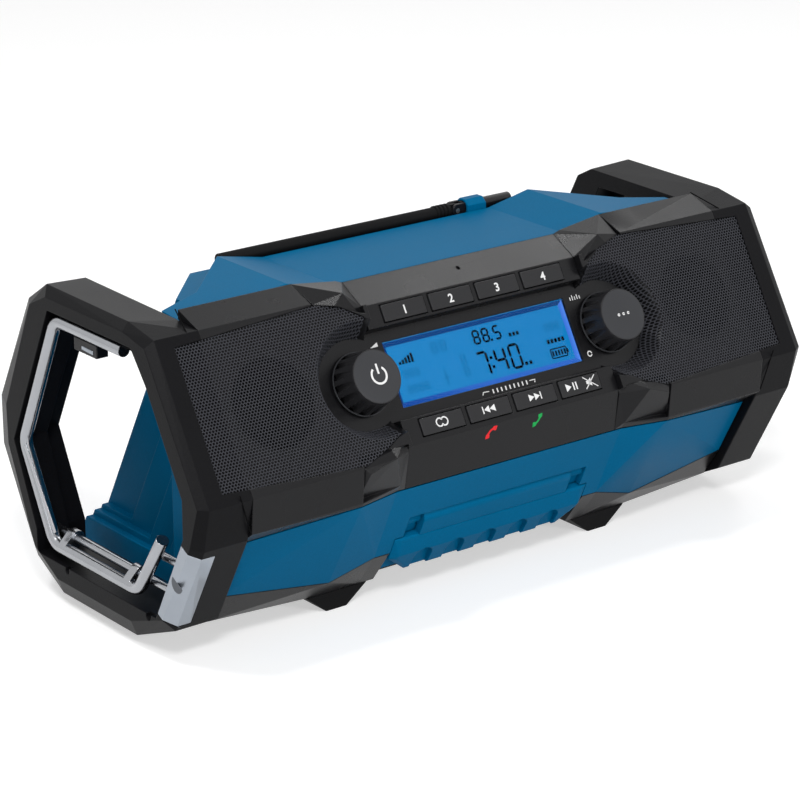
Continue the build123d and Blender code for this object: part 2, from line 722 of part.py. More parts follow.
# hook: one bent wire with two flat eyes on its pivot
hook_points = [
    (HOOK_FREE_END, HOOK_LEVEL), (HOOK_TOP_CORNER, HOOK_LEVEL),
    HOOK_BEND, HOOK_LOW_CORNER, HOOK_FRONT_CORNER, HOOK_STUB
]
eye_outline = [(PIVOT_X, PIVOT_Z), (WIRE_X, HOOK_LOW_CORNER[1])]
with BuildPart() as hook:
    with BuildLine() as wire_path:
        FilletPolyline(*at(WIRE_X, hook_points), radius=WIRE_BEND)
    with BuildSketch(Plane(origin=wire_path.line @ 0, z_dir=wire_path.line % 0)):
        Circle(WIRE_RADIUS)
    sweep(path=wire_path.line)
    for eye_y in EYE_PLACES:
        with BuildSketch(Plane(origin=(0, eye_y, 0), x_dir=(1, 0, 0), z_dir=(0, -1, 0))):
            with Locations(eye_outline[0]):
                Circle(EYE_RADIUS)
            with Locations(eye_outline[1]):
                Circle(WIRE_RADIUS)
            make_hull()
        extrude(amount=EYE_WIDTH)
    add(pivot_room, mode=Mode.SUBTRACT)
write(hook.part, "hook")

# pivot rod and stop pin of the hook
with BuildPart() as hook_pins:
    add(rod((PIVOT_X, PIVOT_BACK - SEAT, PIVOT_Z), (PIVOT_X, PIVOT_FRONT + SEAT, PIVOT_Z), PIVOT_RADIUS))
    add(stop_room)
write(hook_pins.part, "hook_pins")

# clip under the top bar, below the hook's wire
clip_top = RING_OPENING[0][1] - SEAT
clip_nose = HOOK_LEVEL - WIRE_RADIUS - CLIP_GAP
clip_back_x = -END_X + REBATE_DEPTH + SEAT
clip_y = (CLIP_Y - CLIP_WIDTH / 2, CLIP_Y + CLIP_WIDTH / 2)
with BuildPart() as hook_clip:
    add(block((clip_back_x, clip_back_x + CLIP_THICKNESS), clip_y, (clip_nose - CLIP_DROP, clip_top)))
    add(block((WIRE_X, clip_back_x + CLIP_THICKNESS), clip_y, (clip_nose - CLIP_DROP, clip_nose)))
write(hook_clip.part, "hook_clip")

# ---------------------------------------------------------------- front frame
frame_chain = [ROOF_EDGE_POINT, FACE_TOP, FACE_FOOT, LIP]
frame_section = wall_section(frame_chain, FRONT_WALL)
inner_section = wall_section([on_face(GRILLE_TOP - GRILLE_CORNER_TOP), on_face(GRILLE_LOW)], FRONT_WALL)
shoulder_face = [
    (FRAME_IN, GRILLE_TOP - GRILLE_CORNER_TOP),
    (SHOULDER_OUT, GRILLE_TOP - GRILLE_CORNER_TOP),
    (SHOULDER_OUT, GRILLE_TOP + GRILLE_TOP_RISE),
    (SHOULDER_PEAK_X, GRILLE_TOP),
]
shoulder_peak = on_face(FACE_RISE + 1.3, SHOULDER_PROUD)
shoulder_brow = on_face(GRILLE_TOP + 0.8, -0.5)
shoulder_corner = on_face(GRILLE_TOP - 7.7, TOP_KEY_LEVEL - 0.5)
shoulder_flank = on_face(FACE_RISE + 3.5, -3.0)
shoulder_hip = on_face(FACE_RISE - 0.1, -0.9)
console_edge = (ROOF_EDGE_Y, ROOF_MIDDLE_HEIGHT)
nose_peak = on_face(0.2, SHOULDER_NOSE_PROUD)
nose_brow = on_face(4.3, 1.0)
nose_corner = on_face(9.6, LOW_KEY_LEVEL)
nose_low_corner = on_face(2.6, LOW_KEY_LEVEL - 0.9)
nose_out = on_face(-0.3, -0.9)
nose_out_low = on_face(-3.2, -0.5)
hip = (CONSOLE_FOOT[0] - 2.0, HIP_HEIGHT)


def front_frame_half(side):
    """Return the blocks of one side of the black front frame."""
    frame_in = side * FRAME_IN
    shoulder_out = side * SHOULDER_OUT
    shoulder = [
        (side * SHOULDER_IN, ROOF_EDGE_Y, SHOULDER_HEIGHT),
        (side * SHOULDER_PEAK_X, *shoulder_peak),
        (side * (SHOULDER_PEAK_X + 0.7), *shoulder_brow),
        (side * SHOULDER_FLANK_X, *shoulder_flank),
        (side * (SHOULDER_OUT - 1.5), *shoulder_hip),
    ]
    shoulder += at(shoulder_out, [ROOF_EDGE_POINT, (ROOF_EDGE_Y, SHOULDER_HEIGHT - FRONT_WALL), on_face(62.0, -FRONT_WALL)])
    shoulder += at(frame_in, [shoulder_corner, on_face(TOP_SHELF, TOP_KEY_LEVEL), console_edge])
    shoulder += at(frame_in, [on_face(60.0, -8.0), (ROOF_EDGE_Y, SHOULDER_HEIGHT - 2 * FRONT_WALL)])
    cheek = at(frame_in, [nose_corner, nose_low_corner, on_face(14.0, -8.0)])
    cheek += at(side * (FRAME_IN + 1.0), [on_face(14.0, -8.0)])
    cheek += [
        (side * SHOULDER_PEAK_X, *nose_brow),
        (side * SHOULDER_PEAK_X, *nose_peak),
        (side * SHOULDER_HIP_X, *hip),
        (side * (SHOULDER_OUT - 1.0), *nose_out),
        (side * (SHOULDER_OUT - 2.5), *nose_out_low),
    ]
    cheek += at(side * SHOULDER_HIP_X, offset_lines([hip, CONSOLE_FOOT], FRONT_WALL, False))
    cheek += at(shoulder_out + side, offset_lines([FACE_FOOT, LIP], FRONT_WALL - 1, False))
    under_nose = at(shoulder_out, wall_section([LIP, CREASE_FOOT], FRONT_WALL))
    under_hip = at(side * SHOULDER_HIP_X, wall_section([hip, CONSOLE_FOOT], FRONT_WALL))
    under_out = at(side * FRAME_OUT, wall_section([LIP, BELLY_OUT_TOP], FRONT_WALL))
    under_in = at(frame_in, wall_section([nose_low_corner, CONSOLE_FOOT], FRONT_WALL))
    blocks = [
        bar(min(shoulder_out, side * FRAME_OUT), max(shoulder_out, side * FRAME_OUT), frame_section),
        bar(min(frame_in, shoulder_out), max(frame_in, shoulder_out), inner_section),
        prism(FACE, [(side * x, v) for x, v in shoulder_face], -FRONT_WALL, 0),
        hull(shoulder),
        hull(cheek),
        hull(under_nose + under_out),
        hull(under_nose + under_hip),
        hull(under_hip + under_in),
        frustum(
            FACE, (side * KNOB_X, KNOB_V), WELL_FLOOR_RADIUS + WELL_WALL, WELL_RADIUS + WELL_WALL,
            -DECK_DEPTH - PANEL, 0
        ),
        bar(min(frame_in, frame_in + side * WELL_WALL), max(frame_in, frame_in + side * WELL_WALL),
            wall_section([on_face(TOP_SHELF), on_face(LOW_SHELF)], DECK_DEPTH + PANEL)),
    ]
    return blocks


def front_frame_cuts(side):
    """Return the blocks that are cut from one side of the black front frame."""
    place = (side * KNOB_X, KNOB_V)
    return [
        grille_seat(side),
        frustum(FACE, place, WELL_FLOOR_RADIUS, WELL_RADIUS, -DECK_DEPTH, 0),
        disc(FACE, place, WELL_FLOOR_RADIUS, -REACH / 8, -DECK_DEPTH),
        disc(FACE, (side * SPEAKER_X, SPEAKER_V), SPEAKER_MOUTH, -REACH / 8, WALL),
    ]


frame_blocks = [piece for side, name in SIDES for piece in front_frame_half(side)]
frame_cuts = [piece for side, name in SIDES for piece in front_frame_cuts(side)]
mouth_room = block((-FRAME_IN, FRAME_IN), (-REACH, REACH), (-REACH, REACH))
frame_ends = block((-FRAME_OUT, FRAME_OUT), (-REACH, REACH), (-REACH, REACH))
behind_edge = block((-REACH, REACH), (ROOF_EDGE_Y, REACH), (-REACH, REACH))
top_tie = [
    (ROOF_EDGE_Y - 5.5, ROOF_MIDDLE_HEIGHT - 8.0),
    (ROOF_EDGE_Y - 0.5, ROOF_MIDDLE_HEIGHT - 8.0),
    (ROOF_EDGE_Y - 0.5, ROOF_MIDDLE_HEIGHT - 3.8),
    (ROOF_EDGE_Y - 5.5, ROOF_MIDDLE_HEIGHT - 6.2),
]
low_tie = rectangle(
    (CONSOLE_FOOT[0] + PANEL + SEAT, CONSOLE_FOOT[0] + PANEL + WALL),
    (CONSOLE_FOOT[1] + 2.1, CONSOLE_FOOT[1] + 6.6),
)
with BuildPart() as front_frame:
    for piece in frame_blocks:
        add(piece)
    for piece in frame_cuts:
        add(piece, mode=Mode.SUBTRACT)
    add(mouth_room, mode=Mode.SUBTRACT)
    add(frame_ends, mode=Mode.INTERSECT)
    add(behind_edge, mode=Mode.SUBTRACT)
    add(bar(-FRAME_IN - 1, FRAME_IN + 1, top_tie))
    add(bar(-FRAME_IN - 1, FRAME_IN + 1, low_tie))
write(front_frame.part, "front_frame")

# ---------------------------------------------------------------- console
deck_place = -DECK_DEPTH
deck_back = deck_place - PANEL
console_chain = [
    (ROOF_EDGE_Y, ROOF_MIDDLE_HEIGHT),
    on_face(TOP_SHELF, TOP_KEY_LEVEL),
    on_face(TOP_STEP, TOP_KEY_LEVEL),
    on_face(TOP_STEP - STEP_DRAFT, deck_place),
    on_face(LOW_STEP + STEP_DRAFT, deck_place),
    on_face(LOW_STEP, LOW_KEY_LEVEL),
    on_face(LOW_SHELF, LOW_KEY_LEVEL),
    CONSOLE_FOOT,
]
key_centres = [(index - 1.5) * KEY_PITCH for index in range(4)]
key_rows = [
    ("top", TOP_KEY_LOW, TOP_KEY_HIGH, TOP_KEY_LEVEL),
    ("low", LOW_KEY_LOW, LOW_KEY_HIGH, LOW_KEY_LEVEL),
]
window = rectangle((-WINDOW_HALF, WINDOW_HALF), (WINDOW_LOW, WINDOW_HIGH))
board_top = deck_back - LENS_FLANGE_THICKNESS - DISPLAY_THICKNESS - SEAT
board_back = board_top - BOARD_THICKNESS
post_places = [(x, v) for x in (-POST_X, POST_X) for v in (POST_LOW, POST_HIGH)]
with BuildPart() as console_panel:
    add(bar(-CONSOLE_HALF, CONSOLE_HALF, wall_section(console_chain, PANEL)))
    add(behind_edge, mode=Mode.SUBTRACT)
    for side, name in SIDES:
        add(disc(FACE, (side * KNOB_X, KNOB_V), WELL_FLOOR_RADIUS - SEAT, deck_back, deck_place))
    with BuildSketch(FACE.offset(deck_place)):
        Polygon(*window, align=None)
    extrude(amount=-PANEL, mode=Mode.SUBTRACT)
    for side, name in SIDES:
        add(disc(FACE, (side * KNOB_X, KNOB_V), BUSH_RADIUS + SEAT, deck_back, deck_place), mode=Mode.SUBTRACT)
    for row, low, high, shelf in key_rows:
        with BuildSketch(FACE.offset(shelf)):
            with Locations(*[(x, (low + high) / 2) for x in key_centres]):
                Rectangle(KEY_WIDTH + 2 * GAP, high - low + 2 * GAP)
        extrude(amount=-KEY_CAP - KEY_TRAVEL - GAP, mode=Mode.SUBTRACT)
    with BuildSketch(FACE.offset(0)):
        with Locations((MIC_X, MIC_V)):
            Circle(MIC_RADIUS)
    extrude(amount=-DECK_DEPTH, mode=Mode.SUBTRACT)
    with BuildSketch(FACE.offset(deck_back)):
        with Locations(*post_places):
            Circle(POST_RADIUS)
    extrude(amount=board_top - deck_back)
write(console_panel.part, "console_panel")

# display: clear lens in the window, module behind it
lens_flange = rectangle(
    (-WINDOW_HALF - LENS_FLANGE, WINDOW_HALF + LENS_FLANGE), (WINDOW_LOW - LENS_FLANGE, WINDOW_HIGH + LENS_FLANGE)
)
lens_window = rectangle((-WINDOW_HALF + SEAT, WINDOW_HALF - SEAT), (WINDOW_LOW + SEAT, WINDOW_HIGH - SEAT))
lens_back = deck_back - LENS_FLANGE_THICKNESS
with BuildPart() as display_lens:
    add(prism(FACE, lens_flange, lens_back, deck_back))
    add(prism(FACE, lens_window, deck_back, deck_place - LENS_RECESS))
write(display_lens.part, "display_lens")

with BuildPart() as display_module:
    add(prism(FACE, lens_flange, lens_back - DISPLAY_THICKNESS, lens_back))
write(display_module.part, "display_module")

# keys: cap, retaining lips at its ends, stem down to the switch
switch_top = board_top + SWITCH_HEIGHT
switch_places = []
for row, low, high, shelf in key_rows:
    middle = (low + high) / 2
    cap_back = shelf - KEY_CAP
    lip_top = shelf - PANEL - GAP
    for index, x in enumerate(key_centres):
        switch_places.append((x, middle))
        with BuildPart() as key:
            with BuildSketch(FACE.offset(cap_back)):
                with Locations((x, middle)):
                    Rectangle(KEY_WIDTH, high - low)
            extrude(amount=KEY_CAP + KEY_PROUD)
            with BuildSketch(FACE.offset(lip_top - KEY_LIP_THICKNESS)):
                with Locations((x, middle)):
                    Rectangle(KEY_WIDTH + 2 * (GAP + KEY_LIP), high - low - 2 * KEY_LIP)
            extrude(amount=KEY_LIP_THICKNESS)
            with BuildSketch(FACE.offset(cap_back)):
                with Locations((x, middle)):
                    Rectangle(KEY_STEM, KEY_STEM)
            extrude(amount=switch_top + KEY_TRAVEL + GAP - cap_back)
        write(key.part, f"{row}_key_{index + 1}")

encoder_places = [(side * KNOB_X, KNOB_V) for side, name in SIDES]
key_board_outline = rectangle((-KEY_BOARD_HALF, KEY_BOARD_HALF), (KEY_BOARD_LOW, KEY_BOARD_HIGH))
with BuildPart() as key_board:
    add(prism(FACE, key_board_outline, board_back, board_top))
write(key_board.part, "key_board")

with BuildPart() as key_switches:
    with BuildSketch(FACE.offset(board_top)):
        with Locations(*switch_places):
            Rectangle(SWITCH_SIZE, SWITCH_SIZE)
    extrude(amount=SWITCH_HEIGHT)
write(key_switches.part, "key_switches")

# ---------------------------------------------------------------- knobs
encoder_top = deck_back - SEAT
encoder_roof = encoder_top - ENCODER_LID
bush_top = deck_place + BUSH_RISE
plunger_top = encoder_roof - GAP
knob_back = deck_place + KNOB_PRESS + GAP
for side, name in SIDES:
    place = (side * KNOB_X, KNOB_V)
    with BuildPart() as encoder:
        with BuildSketch(FACE.offset(board_top)):
            with Locations(place):
                Rectangle(ENCODER_SIZE, ENCODER_SIZE)
        extrude(amount=encoder_top - board_top)
        add(disc(FACE, place, BUSH_RADIUS, encoder_top, bush_top))
        add(disc(FACE, place, PLUNGER_RADIUS + FIT, board_top + ENCODER_LID, encoder_roof), mode=Mode.SUBTRACT)
        add(disc(FACE, place, SHAFT_RADIUS + FIT, encoder_roof, bush_top), mode=Mode.SUBTRACT)
    write(encoder.part, f"{name}_encoder")

    with BuildPart() as plunger:
        add(disc(FACE, place, PLUNGER_RADIUS, plunger_top - PLUNGER_HEIGHT, plunger_top))
        add(disc(FACE, place, SHAFT_TIP_RADIUS + FIT, plunger_top - PLUNGER_HEIGHT, plunger_top), mode=Mode.SUBTRACT)
    write(plunger.part, f"{name}_knob_plunger")

    with BuildPart() as shaft:
        add(disc(FACE, place, SHAFT_RADIUS, encoder_roof, knob_back + SHAFT_GRIP))
        add(disc(FACE, place, SHAFT_TIP_RADIUS, plunger_top - SHAFT_TIP, encoder_roof))
    write(shaft.part, f"{name}_knob_shaft")

    with BuildPart() as knob:
        add(frustum(FACE, place, KNOB_BASE_RADIUS, KNOB_TOP_RADIUS, knob_back, KNOB_TOP))
        with BuildSketch(FACE.offset(knob_back)):
            with Locations(place):
                with PolarLocations(KNOB_BASE_RADIUS + KNOB_FLUTE_RADIUS - KNOB_FLUTE_DEPTH, KNOB_FLUTES):
                    Circle(KNOB_FLUTE_RADIUS)
        extrude(amount=KNOB_FLUTE_HEIGHT, mode=Mode.SUBTRACT)
        add(disc(FACE, place, SHAFT_RADIUS + FIT, knob_back, knob_back + SHAFT_GRIP + SEAT), mode=Mode.SUBTRACT)
        add(disc(FACE, place, BUSH_RADIUS + GAP, knob_back, bush_top + KNOB_PRESS + GAP), mode=Mode.SUBTRACT)
    write(knob.part, f"{name}_knob")

# ---------------------------------------------------------------- grilles and speakers
gasket_back = -FRONT_WALL - GASKET_THICKNESS
flange_back = gasket_back - SPEAKER_FLANGE
basket_back = flange_back - BASKET_DEPTH
for side, name in SIDES:
    with BuildPart() as grille:
        add(prism(FACE, grille_outline(side, 0), SEAT - GRILLE_DEPTH, SEAT - GRILLE_DEPTH + GRILLE_THICKNESS))
        add(
            disc(FACE, (side * KNOB_X, KNOB_V), WELL_RADIUS, -REACH / 8, REACH / 8),
            mode=Mode.SUBTRACT,
        )
    write(grille.part, f"{name}_grille")

    place = (side * SPEAKER_X, SPEAKER_V)
    with BuildPart() as basket:
        add(disc(FACE, place, SPEAKER_RADIUS, flange_back, gasket_back))
        add(frustum(FACE, place, BASKET_BACK_RADIUS, SPEAKER_MOUTH + BASKET_WALL, basket_back, flange_back))
        add(
            frustum(FACE, place, BASKET_BACK_RADIUS - BASKET_WALL, SPEAKER_MOUTH, basket_back + BASKET_WALL, gasket_back),
            mode=Mode.SUBTRACT,
        )
    write(basket.part, f"{name}_speaker_basket")

    cone_back = basket_back + CONE_LIFT
    with BuildPart() as cone:
        add(frustum(FACE, place, CONE_BACK_RADIUS, CONE_RADIUS, cone_back, gasket_back - CONE_THICKNESS))
        add(
            frustum(
                FACE, place, CONE_BACK_RADIUS - CONE_THICKNESS, CONE_RADIUS - CONE_THICKNESS,
                cone_back + CONE_THICKNESS, gasket_back - CONE_THICKNESS
            ),
            mode=Mode.SUBTRACT,
        )
    write(cone.part, f"{name}_speaker_cone")

    with BuildPart() as magnet:
        add(disc(FACE, place, MAGNET_RADIUS, basket_back - MAGNET_HEIGHT, basket_back))
    write(magnet.part, f"{name}_speaker_magnet")

with BuildPart() as speaker_gaskets:
    with BuildSketch(FACE.offset(gasket_back)):
        with Locations((-SPEAKER_X, SPEAKER_V), (SPEAKER_X, SPEAKER_V)):
            Circle(SPEAKER_RADIUS)
            Circle(SPEAKER_MOUTH, mode=Mode.SUBTRACT)
    extrude(amount=GASKET_THICKNESS)
write(speaker_gaskets.part, "speaker_gaskets")

# ---------------------------------------------------------------- belly and hatch
BELLY = Plane(
    origin=(0, *CONSOLE_FOOT),
    x_dir=(1, 0, 0),
    z_dir=(0, BELLY_MID_LOW[1] - CONSOLE_FOOT[1], CONSOLE_FOOT[0] - BELLY_MID_LOW[0]),
)
belly_mid = [CONSOLE_FOOT, BELLY_MID_LOW]
belly_crease = [CREASE_FOOT, BELLY_CREASE_LOW]
belly_out = [BELLY_OUT_TOP, BELLY_OUT_LOW]
belly_drop = SEAT + BELLY_GAP


def belly_wall(x, chain):
    """Return the corners of the belly's wall at X = x, just below the frame's edge."""
    top, low = chain
    fall = belly_drop / (top[1] - low[1])
    start = (top[0] + (low[0] - top[0]) * fall, top[1] - belly_drop)
    section = wall_section([start, low], BELLY_WALL)
    along = Vector(low[0] - start[0], low[1] - start[1]).normalized() * BELLY_BEVEL
    section[-1] = (section[-1][0] + along.X, section[-1][1] + along.Y)
    return at(x, section)


hatch_low = -BELLY_WALL
hatch_strip = [(HATCH_TOP_HALF, HATCH_AXIS_V), (HATCH_TOP_HALF, HATCH_WIDE_V)]
hatch_strip += [(-x, v) for x, v in hatch_strip[::-1]]
hatch_plate = [
    (HATCH_HALF, HATCH_WIDE_V),
    (HATCH_HALF, HATCH_LOW_V + HATCH_CORNER),
    (HATCH_LOW_HALF, HATCH_LOW_V),
]
hatch_plate += [(-x, v) for x, v in hatch_plate[::-1]]
hatch_ridge = [
    (HATCH_HALF - HATCH_BEVEL, HATCH_WIDE_V - 1.0, HATCH_PROUD),
    (HATCH_HALF - HATCH_BEVEL, HATCH_BULGE_V, HATCH_BULGE),
    (HATCH_HALF - HATCH_BEVEL, HATCH_LOW_V + HATCH_CORNER, HATCH_BULGE - 0.6),
    (HATCH_LOW_HALF - 1.0, HATCH_LOW_V + 1.0, HATCH_PROUD),
]
hatch_ridge += [(-x, v, w) for x, v, w in hatch_ridge]
hatch_room_outline = [
    (HATCH_TOP_HALF + HATCH_EAR, HATCH_AXIS_V + HATCH_BARREL + GAP),
    (HATCH_TOP_HALF + HATCH_EAR, HATCH_WIDE_V + 2 * GAP),
    (HATCH_HALF + GAP, HATCH_WIDE_V + 2 * GAP),
    (HATCH_HALF + GAP, HATCH_LOW_V - BELLY_WALL),
]
hatch_room_outline += [(-x, v) for x, v in hatch_room_outline[::-1]]
scallop_places = [((index - (SCALLOP_COUNT - 1) / 2) * SCALLOP_PITCH, SCALLOP_V) for index in range(SCALLOP_COUNT)]
tray_mouth = rectangle((-CELL_LENGTH / 2 - CELL_PLAY, CELL_LENGTH / 2 + CELL_PLAY), (TRAY_LOW_V, TRAY_HIGH_V))
tray_outline = rectangle(
    (-CELL_LENGTH / 2 - CELL_PLAY - TRAY_WALL, CELL_LENGTH / 2 + CELL_PLAY + TRAY_WALL),
    (TRAY_LOW_V - TRAY_WALL, TRAY_HIGH_V + TRAY_WALL),
)
backing_top = -BELLY_WALL - GAP
backing_back = backing_top - BELLY_WALL
backing_outline = [
    (SHOULDER_HIP_X, HATCH_AXIS_V + BACKING_RISE),
    (SHOULDER_HIP_X, BACKING_STEP_V),
    (HATCH_HALF + GAP, BACKING_STEP_V),
    (HATCH_HALF + GAP, HATCH_LOW_V + GAP),
]
backing_outline += [(-x, v) for x, v in backing_outline[::-1]]


def along_belly(x_low, x_high, radius):
    """Return a rod along the hatch's axis between two X places."""
    start = BELLY.from_local_coords((x_low, HATCH_AXIS_V, HATCH_AXIS_W))
    end = BELLY.from_local_coords((x_high, HATCH_AXIS_V, HATCH_AXIS_W))
    return rod(start, end, radius)


hatch_pin_in = HATCH_TOP_HALF - HATCH_PIN_LENGTH + HATCH_PIN_LAP
hatch_pin_out = HATCH_TOP_HALF + HATCH_PIN_LAP
belly_halves = []
for side, name in SIDES:
    belly_halves.append(hull(belly_wall(side * SHOULDER_HIP_X, belly_mid) + belly_wall(side * SHOULDER_OUT, belly_crease)))
    belly_halves.append(hull(belly_wall(side * SHOULDER_OUT, belly_crease) + belly_wall(side * BELLY_OUT_X, belly_out)))
with BuildPart() as lower_front_panel:
    add(hull(belly_wall(-SHOULDER_HIP_X, belly_mid) + belly_wall(SHOULDER_HIP_X, belly_mid)))
    for piece in belly_halves:
        add(piece)
    add(prism(BELLY, backing_outline, backing_back, -BELLY_WALL))
    add(prism(BELLY, hatch_room_outline, backing_top, REACH / 8), mode=Mode.SUBTRACT)
    for side, name in SIDES:
        ear = sorted((side * (HATCH_TOP_HALF + GAP), side * (HATCH_TOP_HALF + HATCH_EAR + 1)))
        add(along_belly(ear[0], ear[1], HATCH_NUB))
    add(along_belly(-HATCH_TOP_HALF - GAP, HATCH_TOP_HALF + GAP, HATCH_BARREL + GAP), mode=Mode.SUBTRACT)
    add(prism(BELLY, tray_mouth, -REACH / 8, 0), mode=Mode.SUBTRACT)
    add(along_belly(-hatch_pin_out, hatch_pin_out, HATCH_PIN_RADIUS), mode=Mode.SUBTRACT)
write(lower_front_panel.part, "lower_front_panel")

plate_points = [BELLY.from_local_coords((x, v, hatch_low)) for x, v in hatch_plate]
plate_points += [BELLY.from_local_coords((x, v, 0)) for x, v in hatch_plate]
plate_points += [BELLY.from_local_coords(corner) for corner in hatch_ridge]
with BuildPart() as hatch:
    add(hull([(point.X, point.Y, point.Z) for point in plate_points]))
    add(prism(BELLY, hatch_strip, hatch_low, HATCH_PROUD))
    for x, v in scallop_places:
        add(disc(BELLY, (x, v), SCALLOP_RADIUS, SCALLOP_FLOOR, REACH / 8), mode=Mode.SUBTRACT)
        groove = rectangle((x - SCALLOP_RADIUS, x + SCALLOP_RADIUS), (v - REACH / 8, v))
        add(prism(BELLY, groove, SCALLOP_FLOOR, REACH / 8), mode=Mode.SUBTRACT)
    add(along_belly(-HATCH_TOP_HALF, HATCH_TOP_HALF, HATCH_BARREL))
    add(along_belly(-HATCH_TOP_HALF, HATCH_TOP_HALF, HATCH_PIN_RADIUS + FIT), mode=Mode.SUBTRACT)
write(hatch.part, "hatch")

with BuildPart() as hatch_pins:
    for side, name in SIDES:
        ends = sorted((side * hatch_pin_in, side * hatch_pin_out))
        add(along_belly(ends[0], ends[1], HATCH_PIN_RADIUS))
write(hatch_pins.part, "hatch_pins")

tray_back = backing_back - 2 * CELL_RADIUS - CELL_PLAY
with BuildPart() as cell_tray:
    add(prism(BELLY, tray_outline, tray_back - TRAY_WALL, backing_back - SEAT))
    add(prism(BELLY, tray_mouth, tray_back, backing_back - SEAT), mode=Mode.SUBTRACT)
write(cell_tray.part, "cell_tray")

with BuildPart() as backup_cells:
    for v in (TRAY_LOW_V + CELL_RADIUS + SEAT, TRAY_HIGH_V - CELL_RADIUS - SEAT):
        start = BELLY.from_local_coords((-CELL_LENGTH / 2, v, tray_back + CELL_RADIUS + SEAT))
        end = BELLY.from_local_coords((CELL_LENGTH / 2, v, tray_back + CELL_RADIUS + SEAT))
        add(rod(start, end, CELL_RADIUS))
write(backup_cells.part, "backup_cells")

# ---------------------------------------------------------------- roof
roof_front = ROOF_EDGE_Y + SEAT
roof_low = ROOF_HEIGHT - ROOF_THICKNESS
roof_middle_low = ROOF_MIDDLE_HEIGHT - ROOF_THICKNESS
ROOF_END_X = RING_IN - 0.5
roof_front_line = [(ROOF_PLATEAU_X, roof_front), (ROOF_END_X, roof_front)]
roof_waist = (ROOF_WAIST[0], ROOF_BACK - ROOF_WAIST[1])
roof_back_plan = [(ROOF_PLATEAU_X, ROOF_BACK), (ROOF_CORNER[0], ROOF_BACK - ROOF_CORNER[1]), roof_waist]
roof_tail_plan = [roof_waist, (RING_IN - ROOF_TAIL[0], ROOF_BACK - ROOF_TAIL[1])]


def falling(side, plan):
    """Return the corners of a piece of the roof that falls towards a ring."""
    slope = ROOF_FALL / (ROOF_END_X - ROOF_PLATEAU_X)
    points = []
    for x, y in plan:
        top = ROOF_HEIGHT - (x - ROOF_PLATEAU_X) * slope
        points += [(side * x, y, top), (side * x, y, top - ROOF_THICKNESS)]
    return points


with BuildPart() as roof_panel:
    add(block((-ROOF_MIDDLE_HALF, ROOF_MIDDLE_HALF), (roof_front, ROOF_BACK), (roof_middle_low, ROOF_MIDDLE_HEIGHT)))
    for side, name in SIDES:
        ramp = [
            (side * x, y, z)
            for x, low, high in (
                (ROOF_MIDDLE_HALF, roof_middle_low, ROOF_MIDDLE_HEIGHT), (ROOF_PLATEAU_X, roof_low, ROOF_HEIGHT)
            )
            for y in (roof_front, ROOF_BACK)
            for z in (low, high)
        ]
        add(hull(ramp))
        add(hull(falling(side, roof_front_line + roof_back_plan)))
        add(hull(falling(side, roof_front_line + roof_tail_plan)))
write(roof_panel.part, "roof_panel")

# ---------------------------------------------------------------- rear housing
back_face = [(BACK_LEDGE, BACK_LEDGE_HEIGHT), BACK_FOOT, (BACK_FOOT[0], BODY_FLOOR)]
end_back = [(END_BACK_TOP, BACK_LEDGE_HEIGHT), (END_BACK_LOW, BODY_FLOOR)]
housing_mouth = [(HOUSING_FRONT, BODY_FLOOR), (HOUSING_FRONT, BACK_LEDGE_HEIGHT)]
inner_front = [(HOUSING_FRONT - WALL, BODY_FLOOR), (HOUSING_FRONT - WALL, BACK_LEDGE_HEIGHT)]


def housing_hull(inset, mouth, extra):
    """Return the rear housing's outer or inner form."""
    wide = offset_lines(mouth + back_face, -inset, True)
    narrow = offset_lines(mouth + end_back, -inset, True)
    points = []
    for side, name in SIDES:
        points += at(side * (TAPER_START - inset / 2), wide)
        points += at(side * (WALL_X - extra), narrow)
    return hull(points)


